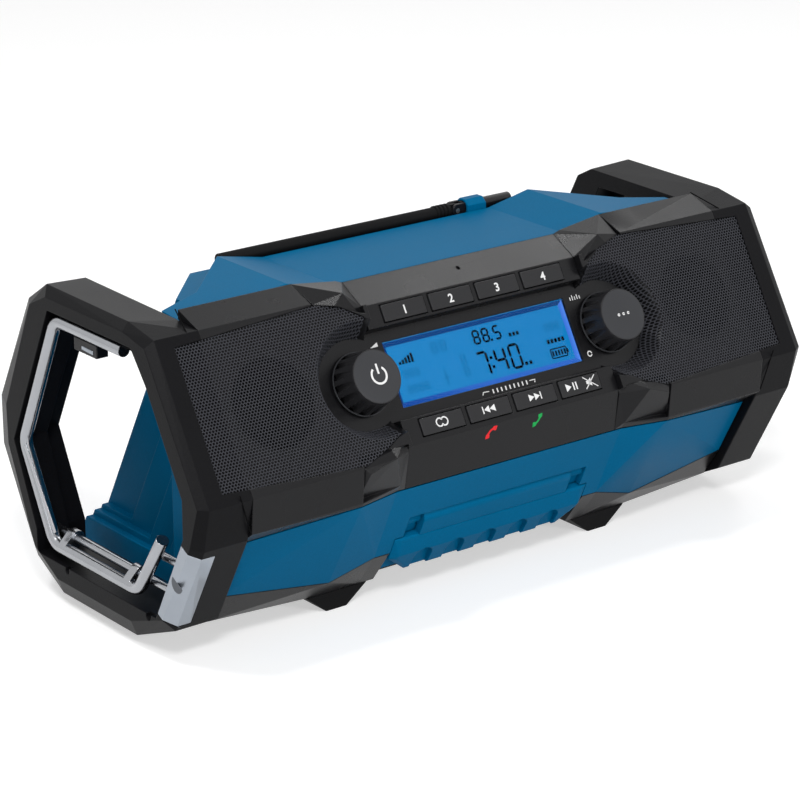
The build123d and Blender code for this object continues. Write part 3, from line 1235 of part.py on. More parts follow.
bay_x = PACK_WIDTH / 2 + GAP
bay_z = (PACK_LOW - GAP, PACK_LOW + PACK_HEIGHT + GAP)
pack_back = BACK_FOOT[0] - PACK_SETBACK
pack_front = pack_back - PACK_LENGTH
rail_z = (PACK_LOW + PACK_RAIL_LIFT, PACK_LOW + PACK_RAIL_LIFT + PACK_RAIL_HEIGHT)
port_x = (PORT_X - PORT_WIDTH / 2, PORT_X + PORT_WIDTH / 2)
port_z = (PORT_Z - PORT_HEIGHT / 2, PORT_Z + PORT_HEIGHT / 2)
cover_axis = (BACK_FOOT[0] - COVER_THICKNESS / 2, port_z[0] + COVER_THICKNESS / 2)
wall_back = BACK_FOOT[0] - WALL
boss_places = [(x, y) for x in (-SCREW_X, SCREW_X) for y in (SCREW_FRONT, SCREW_BACK)]
with BuildPart() as rear_housing:
    add(housing_hull(0, housing_mouth, 0))
    add(housing_hull(WALL, inner_front, 0), mode=Mode.SUBTRACT)
    add(block((-WALL_X + WALL + SEAT, WALL_X - WALL - SEAT), (-REACH, REACH), (0, REACH)), mode=Mode.INTERSECT)
    add(block((-bay_x - BAY_WALL, bay_x + BAY_WALL), (pack_front - GAP, wall_back), (BODY_FLOOR, bay_z[1] + BAY_WALL)))
    add(block((-bay_x, bay_x), (-REACH, REACH), bay_z), mode=Mode.SUBTRACT)
    for side, name in SIDES:
        rail = sorted((side * bay_x, side * (bay_x - PACK_RAIL)))
        add(block(rail, (pack_front - GAP, wall_back), (rail_z[0] + GAP, rail_z[1] - GAP)))
    add(block((port_x[0] - GAP, port_x[1] + GAP), (wall_back - 1, REACH), (port_z[0] - GAP, port_z[1] + GAP)), mode=Mode.SUBTRACT)
    add(
        rod((port_x[0] - COVER_PIN_LAP, *cover_axis), (port_x[1] + COVER_PIN_LAP, *cover_axis), COVER_PIN_RADIUS),
        mode=Mode.SUBTRACT,
    )
    with BuildSketch(Plane.XY.offset(BODY_FLOOR)):
        with Locations(*boss_places):
            Circle(BOSS_RADIUS)
    extrude(amount=BOSS_HEIGHT + WALL)
    with BuildSketch(Plane.XY.offset(BODY_FLOOR)):
        with Locations(*boss_places):
            Circle(SCREW_RADIUS)
    extrude(amount=SCREW_LENGTH - SKID_THICKNESS + SCREW_HEAD + SEAT, mode=Mode.SUBTRACT)
write(rear_housing.part, "rear_housing")

# ---------------------------------------------------------------- end walls
front_inner = offset_lines(frame_chain + belly_out, FRONT_WALL + SEAT, False)
end_top = ROOF_HEIGHT - ROOF_FALL - ROOF_THICKNESS - SEAT
end_profile = [(ROOF_EDGE_Y + SEAT, end_top), (ROOF_EDGE_Y + SEAT, end_top - END_NOTCH)] + front_inner[1:]
end_profile += [(SKID_FRONT + WALL + 1, BODY_FLOOR), (END_BACK_LOW, BODY_FLOOR), (END_BACK_ROOF, end_top)]
end_slope = (END_BACK_LOW - END_BACK_TOP) / (BACK_LEDGE_HEIGHT - BODY_FLOOR)


def back_edge(height):
    """Return the Y of an end wall's back edge at a height."""
    return END_BACK_LOW - (height - BODY_FLOOR) * end_slope


end_plan = [
    (WALL_X - WALL, REACH / 4),
    (WALL_X - WALL, GUSSET_BACK - WALL / 2),
    (FRAME_OUT - WALL, GUSSET_FRONT - WALL / 2),
    (FRAME_OUT - WALL, -REACH / 4),
    (FRAME_OUT, -REACH / 4),
    (FRAME_OUT, GUSSET_FRONT),
    (WALL_X, GUSSET_BACK),
    (WALL_X, REACH / 4),
]
for side, name in SIDES:
    steps = []
    for index, (rib, ledge) in enumerate(zip(STEP_RIBS, STEP_LEDGES)):
        step_x = sorted((side * (WALL_X - WALL / 2), side * (WALL_X + (index + 1) * STEP)))
        step = [
            (back_edge(STEP_TOP) - rib, STEP_TOP),
            (back_edge(ledge) - rib, ledge),
            (back_edge(ledge), ledge),
            (END_BACK_LOW, BODY_FLOOR),
            (GUSSET_FRONT, BODY_FLOOR),
            (GUSSET_FRONT, STEP_TOP),
        ]
        steps.append(bar(step_x[0], step_x[1], step))
    with BuildPart() as end_wall:
        add(prism(Plane.XY, [(side * x, y) for x, y in end_plan], BODY_FLOOR, ROOF_HEIGHT))
        for step in steps:
            add(step)
        add(bar(-REACH, REACH, end_profile), mode=Mode.INTERSECT)
    write(end_wall.part, f"{name}_end_wall")

# ---------------------------------------------------------------- base
skid_plan = [
    (SHOULDER_OUT, SKID_FRONT),
    (FRAME_OUT, SKID_FRONT + SKID_END_REACH),
    (FRAME_OUT, GUSSET_FRONT),
    (WALL_X, GUSSET_BACK),
    (WALL_X, END_BACK_LOW),
    (TAPER_START, BACK_FOOT[0]),
]
skid_plan += [(-x, y) for x, y in skid_plan[::-1]]
skid_top = SKID_BOTTOM + SKID_THICKNESS
skid_foot = (SKID_FRONT, SKID_BOTTOM)


def rail_section(low):
    """Return the section of the skid's front rail under a lower corner of the belly."""
    top = low[1] - SEAT
    return [(low[0], top), (low[0] + WALL, top), (SKID_FRONT + WALL, SKID_BOTTOM), skid_foot]


skid_middle = (-SKID_NOTCH_HALF, SKID_NOTCH_HALF)
skid_notch_back = SKID_FRONT + SKID_NOTCH_DEPTH
skid_ramp = [
    (skid_notch_back, skid_top),
    (skid_notch_back, SKID_BOTTOM),
    (SKID_FRONT, SKID_BOTTOM + SKID_NOTCH_RISE),
    (SKID_FRONT, skid_top + SKID_NOTCH_RISE),
]
with BuildPart() as base_skid:
    add(prism(Plane.XY, skid_plan, SKID_BOTTOM, skid_top))
    add(block(skid_middle, (-REACH, skid_notch_back), (0, REACH)), mode=Mode.SUBTRACT)
    add(bar(skid_middle[0], skid_middle[1], skid_ramp))
    for side, name in SIDES:
        out_foot = [(SKID_FRONT + WALL, skid_top), (SKID_FRONT, SKID_BOTTOM + SKID_END_RISE)]
        out_wedge = [(SKID_FRONT + SKID_END_REACH, SKID_BOTTOM), (SKID_FRONT + SKID_END_REACH, skid_top)]
        out = at(side * BELLY_OUT_X, rail_section(BELLY_OUT_LOW)[:2] + out_foot)
        wedge = at(side * BELLY_OUT_X, out_foot + out_wedge)
        wedge += at(side * SHOULDER_OUT, [skid_foot, (SKID_FRONT + WALL, SKID_BOTTOM), (SKID_FRONT + WALL, skid_top)])
        crease = at(side * SHOULDER_OUT, rail_section(BELLY_CREASE_LOW))
        middle = at(side * (SHOULDER_HIP_X + GAP), rail_section(BELLY_MID_LOW))
        inner = at(side * (HATCH_HALF + 2 * GAP), rail_section(BELLY_MID_LOW))
        add(hull(out + crease))
        add(hull(wedge))
        add(hull(crease + middle))
        add(hull(middle + inner))
    with BuildSketch(Plane.XY.offset(SKID_BOTTOM)):
        with Locations(*boss_places):
            Circle(SCREW_RADIUS + SEAT)
    extrude(amount=SKID_THICKNESS, mode=Mode.SUBTRACT)
    with BuildSketch(Plane.XY.offset(SKID_BOTTOM)):
        with Locations(*boss_places):
            Circle(SCREW_HEAD_RADIUS + SEAT)
    extrude(amount=SCREW_HEAD, mode=Mode.SUBTRACT)
write(base_skid.part, "base_skid")

with BuildPart() as base_screws:
    with BuildSketch(Plane.XY.offset(SKID_BOTTOM)):
        with Locations(*boss_places):
            Circle(SCREW_HEAD_RADIUS)
    extrude(amount=SCREW_HEAD)
    with BuildSketch(Plane.XY.offset(SKID_BOTTOM + SCREW_HEAD)):
        with Locations(*boss_places):
            Circle(SCREW_RADIUS)
    extrude(amount=SCREW_LENGTH)
write(base_screws.part, "base_screws")

foot_outline = [(FOOT_TOP_IN, SKID_BOTTOM), (FOOT_IN, 0), (FOOT_OUT, 0), (FOOT_TOP_OUT, SKID_BOTTOM)]
with BuildPart() as feet:
    for side, name in SIDES:
        for back in (SKID_FRONT + FOOT_DEPTH, BACK_Y - REAR_FOOT_SETBACK):
            foot_plane = Plane(origin=(0, back, 0), x_dir=(1, 0, 0), z_dir=(0, -1, 0))
            add(prism(foot_plane, [(side * x, z) for x, z in foot_outline], 0, FOOT_DEPTH))
write(feet.part, "feet")

# ---------------------------------------------------------------- battery pack
pack_section = [
    (pack_front, PACK_LOW),
    (pack_back, PACK_LOW),
    (pack_back, PACK_LOW + PACK_HEIGHT - PACK_TOE),
    (pack_back - PACK_TOE, PACK_LOW + PACK_HEIGHT),
    (pack_front, PACK_LOW + PACK_HEIGHT),
]
latch_z = (PACK_LOW + PACK_HEIGHT / 2, PACK_LOW + PACK_HEIGHT / 2 + PACK_LATCH_HEIGHT)
latch_x = PACK_LATCH_WIDTH / 2
latch_front = pack_back - PACK_LATCH_DEPTH
blade_places = [(index - (BLADE_COUNT - 1) / 2) * BLADE_PITCH for index in range(BLADE_COUNT)]
blade_z = (PACK_LOW + PACK_HEIGHT - BLADE_DROP, PACK_LOW + PACK_HEIGHT - BLADE_DROP + BLADE_HEIGHT)
with BuildPart() as battery_pack:
    add(bar(-PACK_WIDTH / 2, PACK_WIDTH / 2, pack_section))
    for side, name in SIDES:
        groove = sorted((side * PACK_WIDTH, side * (PACK_WIDTH / 2 - PACK_RAIL - SEAT)))
        add(block(groove, (-REACH, REACH), rail_z), mode=Mode.SUBTRACT)
    latch_room_z = (latch_z[0] - GAP, latch_z[1] + GAP)
    add(
        block((-latch_x - GAP, latch_x + GAP), (latch_front - PACK_LATCH_TRAVEL - GAP, REACH), latch_room_z),
        mode=Mode.SUBTRACT,
    )
    for x in blade_places:
        slot_x = (x - BLADE_THICKNESS / 2 - GAP, x + BLADE_THICKNESS / 2 + GAP)
        slot_z = (blade_z[0] - GAP, REACH)
        add(block(slot_x, (-REACH, pack_front + BLADE_LENGTH + GAP), slot_z), mode=Mode.SUBTRACT)
write(battery_pack.part, "battery_pack")

with BuildPart() as battery_release:
    add(block((-latch_x, latch_x), (latch_front, pack_back + PACK_LATCH_PROUD), latch_z))
write(battery_release.part, "battery_release")

terminal_back = pack_front - GAP - SEAT
with BuildPart() as battery_terminals:
    add(block((-bay_x - BAY_WALL, bay_x + BAY_WALL), (terminal_back - TERMINAL_DEPTH, terminal_back), (bay_z[0], bay_z[1] + BAY_WALL)))
    for x in blade_places:
        add(block((x - BLADE_THICKNESS / 2, x + BLADE_THICKNESS / 2), (terminal_back, pack_front + BLADE_LENGTH), blade_z))
write(battery_terminals.part, "battery_terminals")

board_post_places = [(x, y) for x in (-BOARD_POST_X, BOARD_POST_X) for y in (MAIN_BOARD_FRONT + 5, MAIN_BOARD_BACK - 5)]
main_board_low = bay_z[1] + BAY_WALL + BOARD_POST_HEIGHT
main_board_plan = rectangle((-MAIN_BOARD_HALF, MAIN_BOARD_HALF), (MAIN_BOARD_FRONT, MAIN_BOARD_BACK))
with BuildPart() as main_board:
    add(prism(Plane.XY, main_board_plan, main_board_low, main_board_low + BOARD_THICKNESS))
    with BuildSketch(Plane.XY.offset(bay_z[1] + BAY_WALL)):
        with Locations(*board_post_places):
            Circle(POST_RADIUS)
    extrude(amount=BOARD_POST_HEIGHT)
write(main_board.part, "main_board")

# ---------------------------------------------------------------- sockets behind their cover
cover_front = BACK_FOOT[0] - COVER_THICKNESS
socket_places = [(PORT_X - SOCKET_PITCH / 2, PORT_Z), (PORT_X + SOCKET_PITCH / 2, PORT_Z)]
SOCKETS = Plane(origin=(0, wall_back - GAP, 0), x_dir=(1, 0, 0), z_dir=(0, -1, 0))
with BuildPart() as port_cover:
    add(block(port_x, (cover_front, BACK_FOOT[0]), (cover_axis[1], port_z[1])))
    add(rod((port_x[0], *cover_axis), (port_x[1], *cover_axis), COVER_THICKNESS / 2))
    add(rod((port_x[0], *cover_axis), (port_x[1], *cover_axis), COVER_PIN_RADIUS + FIT), mode=Mode.SUBTRACT)
write(port_cover.part, "port_cover")

with BuildPart() as port_cover_pin:
    add(rod((port_x[0] - COVER_PIN_LAP, *cover_axis), (port_x[1] + COVER_PIN_LAP, *cover_axis), COVER_PIN_RADIUS))
write(port_cover_pin.part, "port_cover_pin")

with BuildPart() as aux_sockets:
    add(prism(SOCKETS, rectangle((port_x[0] - WALL, port_x[1] + WALL), (port_z[0], port_z[1] + WALL)), 0, SOCKET_FLANGE))
    for place in socket_places:
        add(disc(SOCKETS, place, SOCKET_RADIUS, SOCKET_FLANGE, SOCKET_LENGTH))
        add(disc(SOCKETS, place, SOCKET_BORE, 0, SOCKET_LENGTH - SOCKET_FLANGE), mode=Mode.SUBTRACT)
write(aux_sockets.part, "aux_sockets")

# ---------------------------------------------------------------- antenna
fork_reach = MAST_RADIUS + GAP
MAST_SIDE = Plane(origin=(MAST_PIVOT_X, MAST_Y, MAST_Z), x_dir=(1, 0, 0), z_dir=(0, -1, 0))
mast_start = (MAST_TIP_X, MAST_Y, MAST_Z)
mast_end = (MAST_PIVOT_X - fork_reach, MAST_Y, MAST_Z)
tongue_outline = rectangle((-fork_reach - 1, 0), (-MAST_RADIUS + 0.2, MAST_RADIUS - 0.2))
cheek_outline = rectangle((0, fork_reach + 1), (-MAST_RADIUS, MAST_RADIUS))
cheek_in = TONGUE_THICKNESS / 2 + GAP
base_start = (MAST_PIVOT_X + fork_reach, MAST_Y, MAST_Z)
base_end = (ANTENNA_BASE_END, MAST_Y, MAST_Z)
with BuildPart() as antenna_mast:
    add(rod(mast_start, mast_end, MAST_RADIUS))
    for index in range(MAST_RIBS):
        rib_x = MAST_PIVOT_X - fork_reach - (index + 1) * MAST_RIB_PITCH
        add(rod((rib_x, MAST_Y, MAST_Z), (rib_x + MAST_RIB_PITCH / 2, MAST_Y, MAST_Z), MAST_RADIUS + MAST_RIB_RISE))
    add(prism(MAST_SIDE, tongue_outline, -TONGUE_THICKNESS / 2, TONGUE_THICKNESS / 2))
    add(disc(MAST_SIDE, (0, 0), MAST_RADIUS - 0.2, -TONGUE_THICKNESS / 2, TONGUE_THICKNESS / 2))
    add(disc(MAST_SIDE, (0, 0), ANTENNA_PIN_RADIUS + FIT, -MAST_RADIUS, MAST_RADIUS), mode=Mode.SUBTRACT)
write(antenna_mast.part, "antenna_mast")

with BuildPart() as antenna_base:
    add(rod(base_start, (HUMP_END, MAST_Y, MAST_Z), MAST_NECK_RADIUS))
    add(rod(base_start, base_end, ANTENNA_END_RADIUS))
    for low, high in ((-MAST_NECK_RADIUS, -cheek_in), (cheek_in, MAST_NECK_RADIUS)):
        add(prism(MAST_SIDE, cheek_outline, low, high))
        add(disc(MAST_SIDE, (0, 0), MAST_RADIUS, low, high))
    add(disc(MAST_SIDE, (0, 0), ANTENNA_PIN_RADIUS, -MAST_RADIUS * 2, MAST_RADIUS * 2), mode=Mode.SUBTRACT)
write(antenna_base.part, "antenna_base")

with BuildPart() as antenna_pin:
    add(disc(MAST_SIDE, (0, 0), ANTENNA_PIN_RADIUS, -MAST_NECK_RADIUS, MAST_NECK_RADIUS))
write(antenna_pin.part, "antenna_pin")

clamp_low = BACK_LEDGE_HEIGHT + SEAT
clamp_outline = [
    (MAST_Y - CLAMP_HALF, clamp_low),
    (MAST_Y + CLAMP_HALF, clamp_low),
    (MAST_Y + CLAMP_HALF, MAST_Z + 2),
    (MAST_Y + CLAMP_HALF - 3, HUMP_TOP),
    (MAST_Y - CLAMP_HALF + 3, HUMP_TOP),
    (MAST_Y - CLAMP_HALF, MAST_Z + 2),
]
with BuildPart() as antenna_clamp:
    add(bar(HUMP_START, HUMP_END, clamp_outline))
    add(rod((HUMP_START, MAST_Y, MAST_Z), (HUMP_END, MAST_Y, MAST_Z), MAST_NECK_RADIUS), mode=Mode.SUBTRACT)
write(antenna_clamp.part, "antenna_clamp")
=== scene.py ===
"""Studio scene of a jobsite radio: grab rings at both ends, sloping console, folded hook."""

import logging
import math
from dataclasses import dataclass
from enum import Enum

import bmesh
import bpy
from mathutils import Matrix, Vector


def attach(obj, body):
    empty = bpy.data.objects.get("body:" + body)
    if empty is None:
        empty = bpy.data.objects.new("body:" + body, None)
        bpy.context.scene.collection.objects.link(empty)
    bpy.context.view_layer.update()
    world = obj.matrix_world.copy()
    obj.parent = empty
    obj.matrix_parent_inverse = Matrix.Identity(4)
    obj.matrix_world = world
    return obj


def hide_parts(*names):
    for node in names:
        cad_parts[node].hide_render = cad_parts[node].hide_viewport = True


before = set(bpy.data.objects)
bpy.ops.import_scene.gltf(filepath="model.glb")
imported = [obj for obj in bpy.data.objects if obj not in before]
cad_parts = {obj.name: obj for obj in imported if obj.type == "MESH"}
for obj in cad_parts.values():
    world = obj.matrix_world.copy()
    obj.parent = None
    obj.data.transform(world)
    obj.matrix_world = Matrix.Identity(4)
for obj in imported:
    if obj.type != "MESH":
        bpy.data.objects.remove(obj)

LOG = logging.getLogger("radio")
MM = 0.001
NODES: dict[str, bpy.types.Object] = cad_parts

Flat = tuple[float, float]
Spot = tuple[float, float, float]
Edges = tuple[float, float, float, float]
Outline = list[Flat]
Face = tuple[int, ...]
Rgba = tuple[float, float, float, float]

# Samples that the bevel shader takes round an edge.
EDGE_SAMPLES = 4
# Width of the rounding on the frame's pieces, and the steps across every rounding.
EASE_MM = 0.5
EASE_STEPS = 2
# Corners nearer than this are one corner, and edges that turn more than this are sharp.
WELD_MM = 0.02
SHARP_DEG = 25


class Side(Enum):
    """The two mirrored halves of the radio, as the sign of X."""

    LEFT = -1
    RIGHT = 1

    @property
    def word(self) -> str:
        """Return the side's name as it stands in node names."""
        return self.name.lower()


@dataclass(frozen=True)
class Slope:
    """A flat surface of the radio that runs along X, with its own (u, v, w) places in mm.

    Attributes:
        foot: Y and Z of the surface's lower edge.
        lean_deg: How far it leans back from upright.
    """

    foot: Flat
    lean_deg: float

    @property
    def up(self) -> Flat:
        """Return Y and Z of the direction up the surface."""
        return math.sin(math.radians(self.lean_deg)), math.cos(math.radians(self.lean_deg))

    @property
    def out(self) -> Flat:
        """Return Y and Z of the direction out of the surface."""
        return -self.up[1], self.up[0]

    def point(self, u: float, v: float, w: float = 0.0) -> Vector:
        """Return a place on the surface in the row frame, in metres.

        Args:
            u: Place along X, in mm.
            v: Place up the surface, in mm.
            w: Height above the surface, in mm.

        Returns:
            The place as a vector in metres.
        """
        up, out = self.up, self.out
        y = self.foot[0] + v * up[0] + w * out[0]
        z = self.foot[1] + v * up[1] + w * out[1]
        return Vector((u, y, z)) * MM

    def stand(self, u: float, v: float, w: float) -> Matrix:
        """Return the matrix that stands a flat object on the surface.

        Args:
            u: Place along X, in mm.
            v: Place up the surface, in mm.
            w: Height above the surface, in mm.

        Returns:
            A matrix whose X runs along the radio and whose Z points out of the surface.
        """
        axes = (Vector((1.0, 0.0, 0.0)), Vector((0.0, *self.up)), Vector((0.0, *self.out)))
        return Matrix.Translation(self.point(u, v, w)) @ Matrix(axes).transposed().to_4x4()


# The console's front, and the upright lip under the lower keys, which leans forward.
FRONT = Slope((-84.5, 82.3), 30.5)
LIP = Slope((-76.6, 63.7), -7.16)


def linear(code: str) -> Rgba:
    """Turn an sRGB hex colour into the linear RGBA that shaders use.

    Args:
        code: Six hex digits.

    Returns:
        Linear red, green, blue and an alpha of 1.
    """
    parts = [int(code[i : i + 2], 16) / 255 for i in (0, 2, 4)]
    low = [p / 12.92 if p <= 0.04045 else ((p + 0.055) / 1.055) ** 2.4 for p in parts]
    return (*low, 1.0)


def shaded(code: str, gain: float) -> Rgba:
    """Return a hex colour made lighter or darker, in linear RGBA.

    Args:
        code: Six hex digits.
        gain: Factor on the linear colour.

    Returns:
        The linear colour with an alpha of 1.
    """
    return (*(min(1.0, c * gain) for c in linear(code)[:3]), 1.0)


def add_node(
    tree: bpy.types.NodeTree, kind: str, settings: dict[str, object] | None = None, **links: object
) -> bpy.types.Node:
    """Add a shader node with its settings, socket values and links.

    Args:
        tree: The material's node tree.
        kind: Blender's name of the node type, without its ShaderNode prefix.
        settings: Attributes of the node itself.
        **links: Input sockets by name, with "_" for a space, or i0, i1 and so on by place,
            each a value or an output socket. A colour mix has its factor at i0 and its colours
            at i6 and i7.

    Returns:
        The new node.
    """
    node = tree.nodes.new(f"ShaderNode{kind}")
    for key, value in (settings or {}).items():
        setattr(node, key, value)
    for key, value in links.items():
        numbered = key[0] == "i" and key[1:].isdigit()
        socket = node.inputs[int(key[1:])] if numbered else node.inputs[key.replace("_", " ")]
        if isinstance(value, bpy.types.NodeSocket):
            tree.links.new(value, socket)
        else:
            socket.default_value = value
    return node


def blank_material(name: str) -> bpy.types.Material:
    """Return a new material whose node tree is empty.

    Args:
        name: Name of the material.

    Returns:
        The material.
    """
    made = bpy.data.materials.new(name)
    made.use_nodes = True
    made.node_tree.nodes.clear()
    return made


@dataclass(frozen=True)
class Finish:
    """What a piece is made of. Each kind of finish wires its own nodes.

    Attributes:
        name: Name of the material.
    """

    name: str

    def wire(self, tree: bpy.types.NodeTree, place: bpy.types.NodeSocket) -> bpy.types.Node:
        """Wire the finish's nodes.

        Args:
            tree: The material's node tree.
            place: Socket with the place on the piece, in metres.

        Returns:
            The shader node.
        """
        raise NotImplementedError

    def build(self) -> bpy.types.Material:
        """Return the material, made once."""
        made = bpy.data.materials.get(self.name)
        if made is None:
            made = blank_material(self.name)
            tree = made.node_tree
            shader = self.wire(tree, add_node(tree, "TexCoord").outputs["Object"])
            add_node(tree, "OutputMaterial", Surface=shader.outputs["BSDF"])
        return made


@dataclass(frozen=True)
class MouldedPlastic(Finish):
    """An injection-moulded plastic or rubber with a spark-eroded mould texture.

    Attributes:
        colour: sRGB hex colour.
        roughness: Microfacet roughness.
        grain_mm: Spacing of the mould's texture; the real 0.2 mm is drawn coarser so that it shows.
        grain_depth: Strength of that texture.
        shade: How much the colour drifts over the surface.
        gloss: Specular level; matt textures mirror less than the flat plastic's 0.5.
        edge_mm: Radius of the mould's edges.
        ior: Index of refraction of the plastic.
        drift_mm: Size of the patches over which the colour drifts.
        patchy: How far the roughness drifts either way.
        relief: Height of the grain, as a part of its spacing.
        speck: Levels of the grain's noise that are its darkest and its lightest.
    """

    colour: str
    roughness: float
    grain_mm: float = 0.7
    grain_depth: float = 0.2
    shade: float = 0.15
    gloss: float = 0.22
    edge_mm: float = 0.6
    ior: float = 1.53
    drift_mm: float = 45.0
    patchy: float = 0.06
    relief: float = 0.4
    speck: Flat = (0.3, 0.7)

    def wire(self, tree: bpy.types.NodeTree, place: bpy.types.NodeSocket) -> bpy.types.Node:
        """Wire a drifting colour, a speckled grain with its bump and softened edges.

        Args:
            tree: The material's node tree.
            place: Socket with the place on the piece, in metres.

        Returns:
            The shader node.
        """
        drift = add_node(tree, "TexNoise", Vector=place, Scale=1 / (self.drift_mm * MM), Detail=3.0)
        grain = add_node(
            tree, "TexNoise", Vector=place, Scale=1 / (self.grain_mm * MM), Detail=3.0, Roughness=0.65
        )
        tone = add_node(
            tree, "Mix", {"data_type": "RGBA"}, i0=drift.outputs["Fac"],
            i6=shaded(self.colour, 1 - self.shade), i7=shaded(self.colour, 1 + self.shade),
        )
        speck = add_node(
            tree, "MapRange", Value=grain.outputs["Fac"], From_Min=self.speck[0], From_Max=self.speck[1],
            To_Min=0.0, To_Max=1.0,
        )
        speckled = add_node(
            tree, "Mix", {"data_type": "RGBA", "blend_type": "OVERLAY"}, i0=self.grain_depth * 0.5,
            i6=tone.outputs[2], i7=speck.outputs["Result"],
        )
        edge = add_node(tree, "Bevel", {"samples": EDGE_SAMPLES}, Radius=self.edge_mm * MM)
        bump = add_node(
            tree, "Bump", Strength=self.grain_depth, Distance=self.grain_mm * MM * self.relief,
            Height=grain.outputs["Fac"], Normal=edge.outputs["Normal"],
        )
        rough = add_node(
            tree, "MapRange", Value=drift.outputs["Fac"],
            To_Min=self.roughness - self.patchy, To_Max=self.roughness + self.patchy,
        )
        return add_node(
            tree, "BsdfPrincipled", Base_Color=speckled.outputs[2], Roughness=rough.outputs["Result"],
            IOR=self.ior, Specular_IOR_Level=self.gloss, Normal=bump.outputs["Normal"],
        )


@dataclass(frozen=True)
class WorkedMetal(Finish):
    """A bare or plated metal with the marks of how its surface was made.

    Attributes:
        colour: sRGB hex colour of its reflection.
        roughness: Microfacet roughness.
        mark_mm: Spacing of the drawing, grinding or plating marks.
        mark_depth: Strength of the marks.
        stretch: How many times longer the marks are along X than across it.
        edge_mm: Radius of its edges.
        haze_mm: Size of the cloudy patches.
        cloud: Gains of the colour in the darkest and the lightest patch.
        rub: Gains of the roughness in the smoothest and the roughest patch.
        relief: Height of the marks, as a part of their spacing.
    """

    colour: str
    roughness: float
    mark_mm: float = 0.6
    mark_depth: float = 0.08
    stretch: float = 1.0
    edge_mm: float = 0.3
    haze_mm: float = 18.0
    cloud: Flat = (0.88, 1.1)
    rub: Flat = (0.8, 1.25)
    relief: float = 0.3

    def wire(self, tree: bpy.types.NodeTree, place: bpy.types.NodeSocket) -> bpy.types.Node:
        """Wire stretched marks with their bump, cloudy patches and softened edges.

        Args:
            tree: The material's node tree.
            place: Socket with the place on the piece, in metres.

        Returns:
            The shader node.
        """
        drawn = add_node(tree, "Mapping", Vector=place, Scale=(1 / self.stretch, 1.0, 1.0))
        marks = add_node(tree, "TexNoise", Vector=drawn.outputs[0], Scale=1 / (self.mark_mm * MM), Detail=2.0)
        haze = add_node(tree, "TexNoise", Vector=place, Scale=1 / (self.haze_mm * MM), Detail=3.0)
        tone = add_node(
            tree, "Mix", {"data_type": "RGBA"}, i0=haze.outputs["Fac"],
            i6=shaded(self.colour, self.cloud[0]), i7=shaded(self.colour, self.cloud[1]),
        )
        rough = add_node(
            tree, "MapRange", Value=haze.outputs["Fac"],
            To_Min=self.roughness * self.rub[0], To_Max=self.roughness * self.rub[1],
        )
        edge = add_node(tree, "Bevel", {"samples": EDGE_SAMPLES}, Radius=self.edge_mm * MM)
        bump = add_node(
            tree, "Bump", Strength=self.mark_depth, Distance=self.mark_mm * MM * self.relief,
            Height=marks.outputs["Fac"], Normal=edge.outputs["Normal"],
        )
        return add_node(
            tree, "BsdfPrincipled", Base_Color=tone.outputs[2], Metallic=1.0,
            Roughness=rough.outputs["Result"], Normal=bump.outputs["Normal"],
        )


@dataclass(frozen=True)
class Ink(Finish):
    """A screen-printed ink, a little uneven where the mesh laid it down.

    Attributes:
        colour: sRGB hex colour.
        roughness: Microfacet roughness.
        mesh_mm: Thread spacing of the screen, drawn coarse enough to show.
        cover: Gains of the colour where the ink lies thinnest and thickest.
        gloss: Specular level of the dried ink.
    """

    colour: str
    roughness: float = 0.5
    mesh_mm: float = 0.25
    cover: Flat = (0.86, 1.08)
    gloss: float = 0.2

    def wire(self, tree: bpy.types.NodeTree, place: bpy.types.NodeSocket) -> bpy.types.Node:
        """Wire the uneven cover of the ink.

        Args:
            tree: The material's node tree.
            place: Socket with the place on the piece, in metres.

        Returns:
            The shader node.
        """
        screen = add_node(tree, "TexNoise", Vector=place, Scale=1 / (self.mesh_mm * MM), Detail=1.0)
        tone = add_node(
            tree, "Mix", {"data_type": "RGBA"}, i0=screen.outputs["Fac"],
            i6=shaded(self.colour, self.cover[0]), i7=shaded(self.colour, self.cover[1]),
        )
        return add_node(
            tree, "BsdfPrincipled", Base_Color=tone.outputs[2], Roughness=self.roughness,
            Specular_IOR_Level=self.gloss,
        )


@dataclass(frozen=True)
class EdgeLitSheet(Finish):
    """A sheet that an edge lamp lights from inside, changing colour along X.

    Attributes:
        near: sRGB hex colour at the left end.
        far: sRGB hex colour at the right end.
        start_mm: Place along X where the colour starts to change.
        stop_mm: Place along X where it has changed.
        diffuser_mm: Spacing of the dots of the diffuser.
        dim: Light that is left at the middle between dots.
        roughness: Microfacet roughness.
    """

    near: str
    far: str
    start_mm: float = -54.0
    stop_mm: float = 54.0
    diffuser_mm: float = 0.9
    dim: float = 0.97
    roughness: float = 0.45

    def wire(self, tree: bpy.types.NodeTree, place: bpy.types.NodeSocket) -> bpy.types.Node:
        """Wire a glow that changes along X, with the dots of the diffuser.

        Args:
            tree: The material's node tree.
            place: Socket with the place on the piece, in metres.

        Returns:
            The shader node.
        """
        along = add_node(tree, "SeparateXYZ", Vector=place)
        reach = add_node(
            tree, "MapRange", {"interpolation_type": "SMOOTHSTEP"}, Value=along.outputs["X"],
            From_Min=self.start_mm * MM, From_Max=self.stop_mm * MM,
        )
        tint = add_node(
            tree, "Mix", {"data_type": "RGBA"}, i0=reach.outputs["Result"],
            i6=linear(self.near), i7=linear(self.far),
        )
        dots = add_node(tree, "TexVoronoi", Vector=place, Scale=1 / (self.diffuser_mm * MM))
        glow = add_node(tree, "MapRange", Value=dots.outputs["Distance"], To_Min=1.0, To_Max=self.dim)
        return add_node(
            tree, "BsdfPrincipled", Base_Color=(0.0, 0.0, 0.0, 1.0), Roughness=self.roughness,
            Specular_IOR_Level=0.0, Emission_Color=tint.outputs[2], Emission_Strength=glow.outputs["Result"],
        )


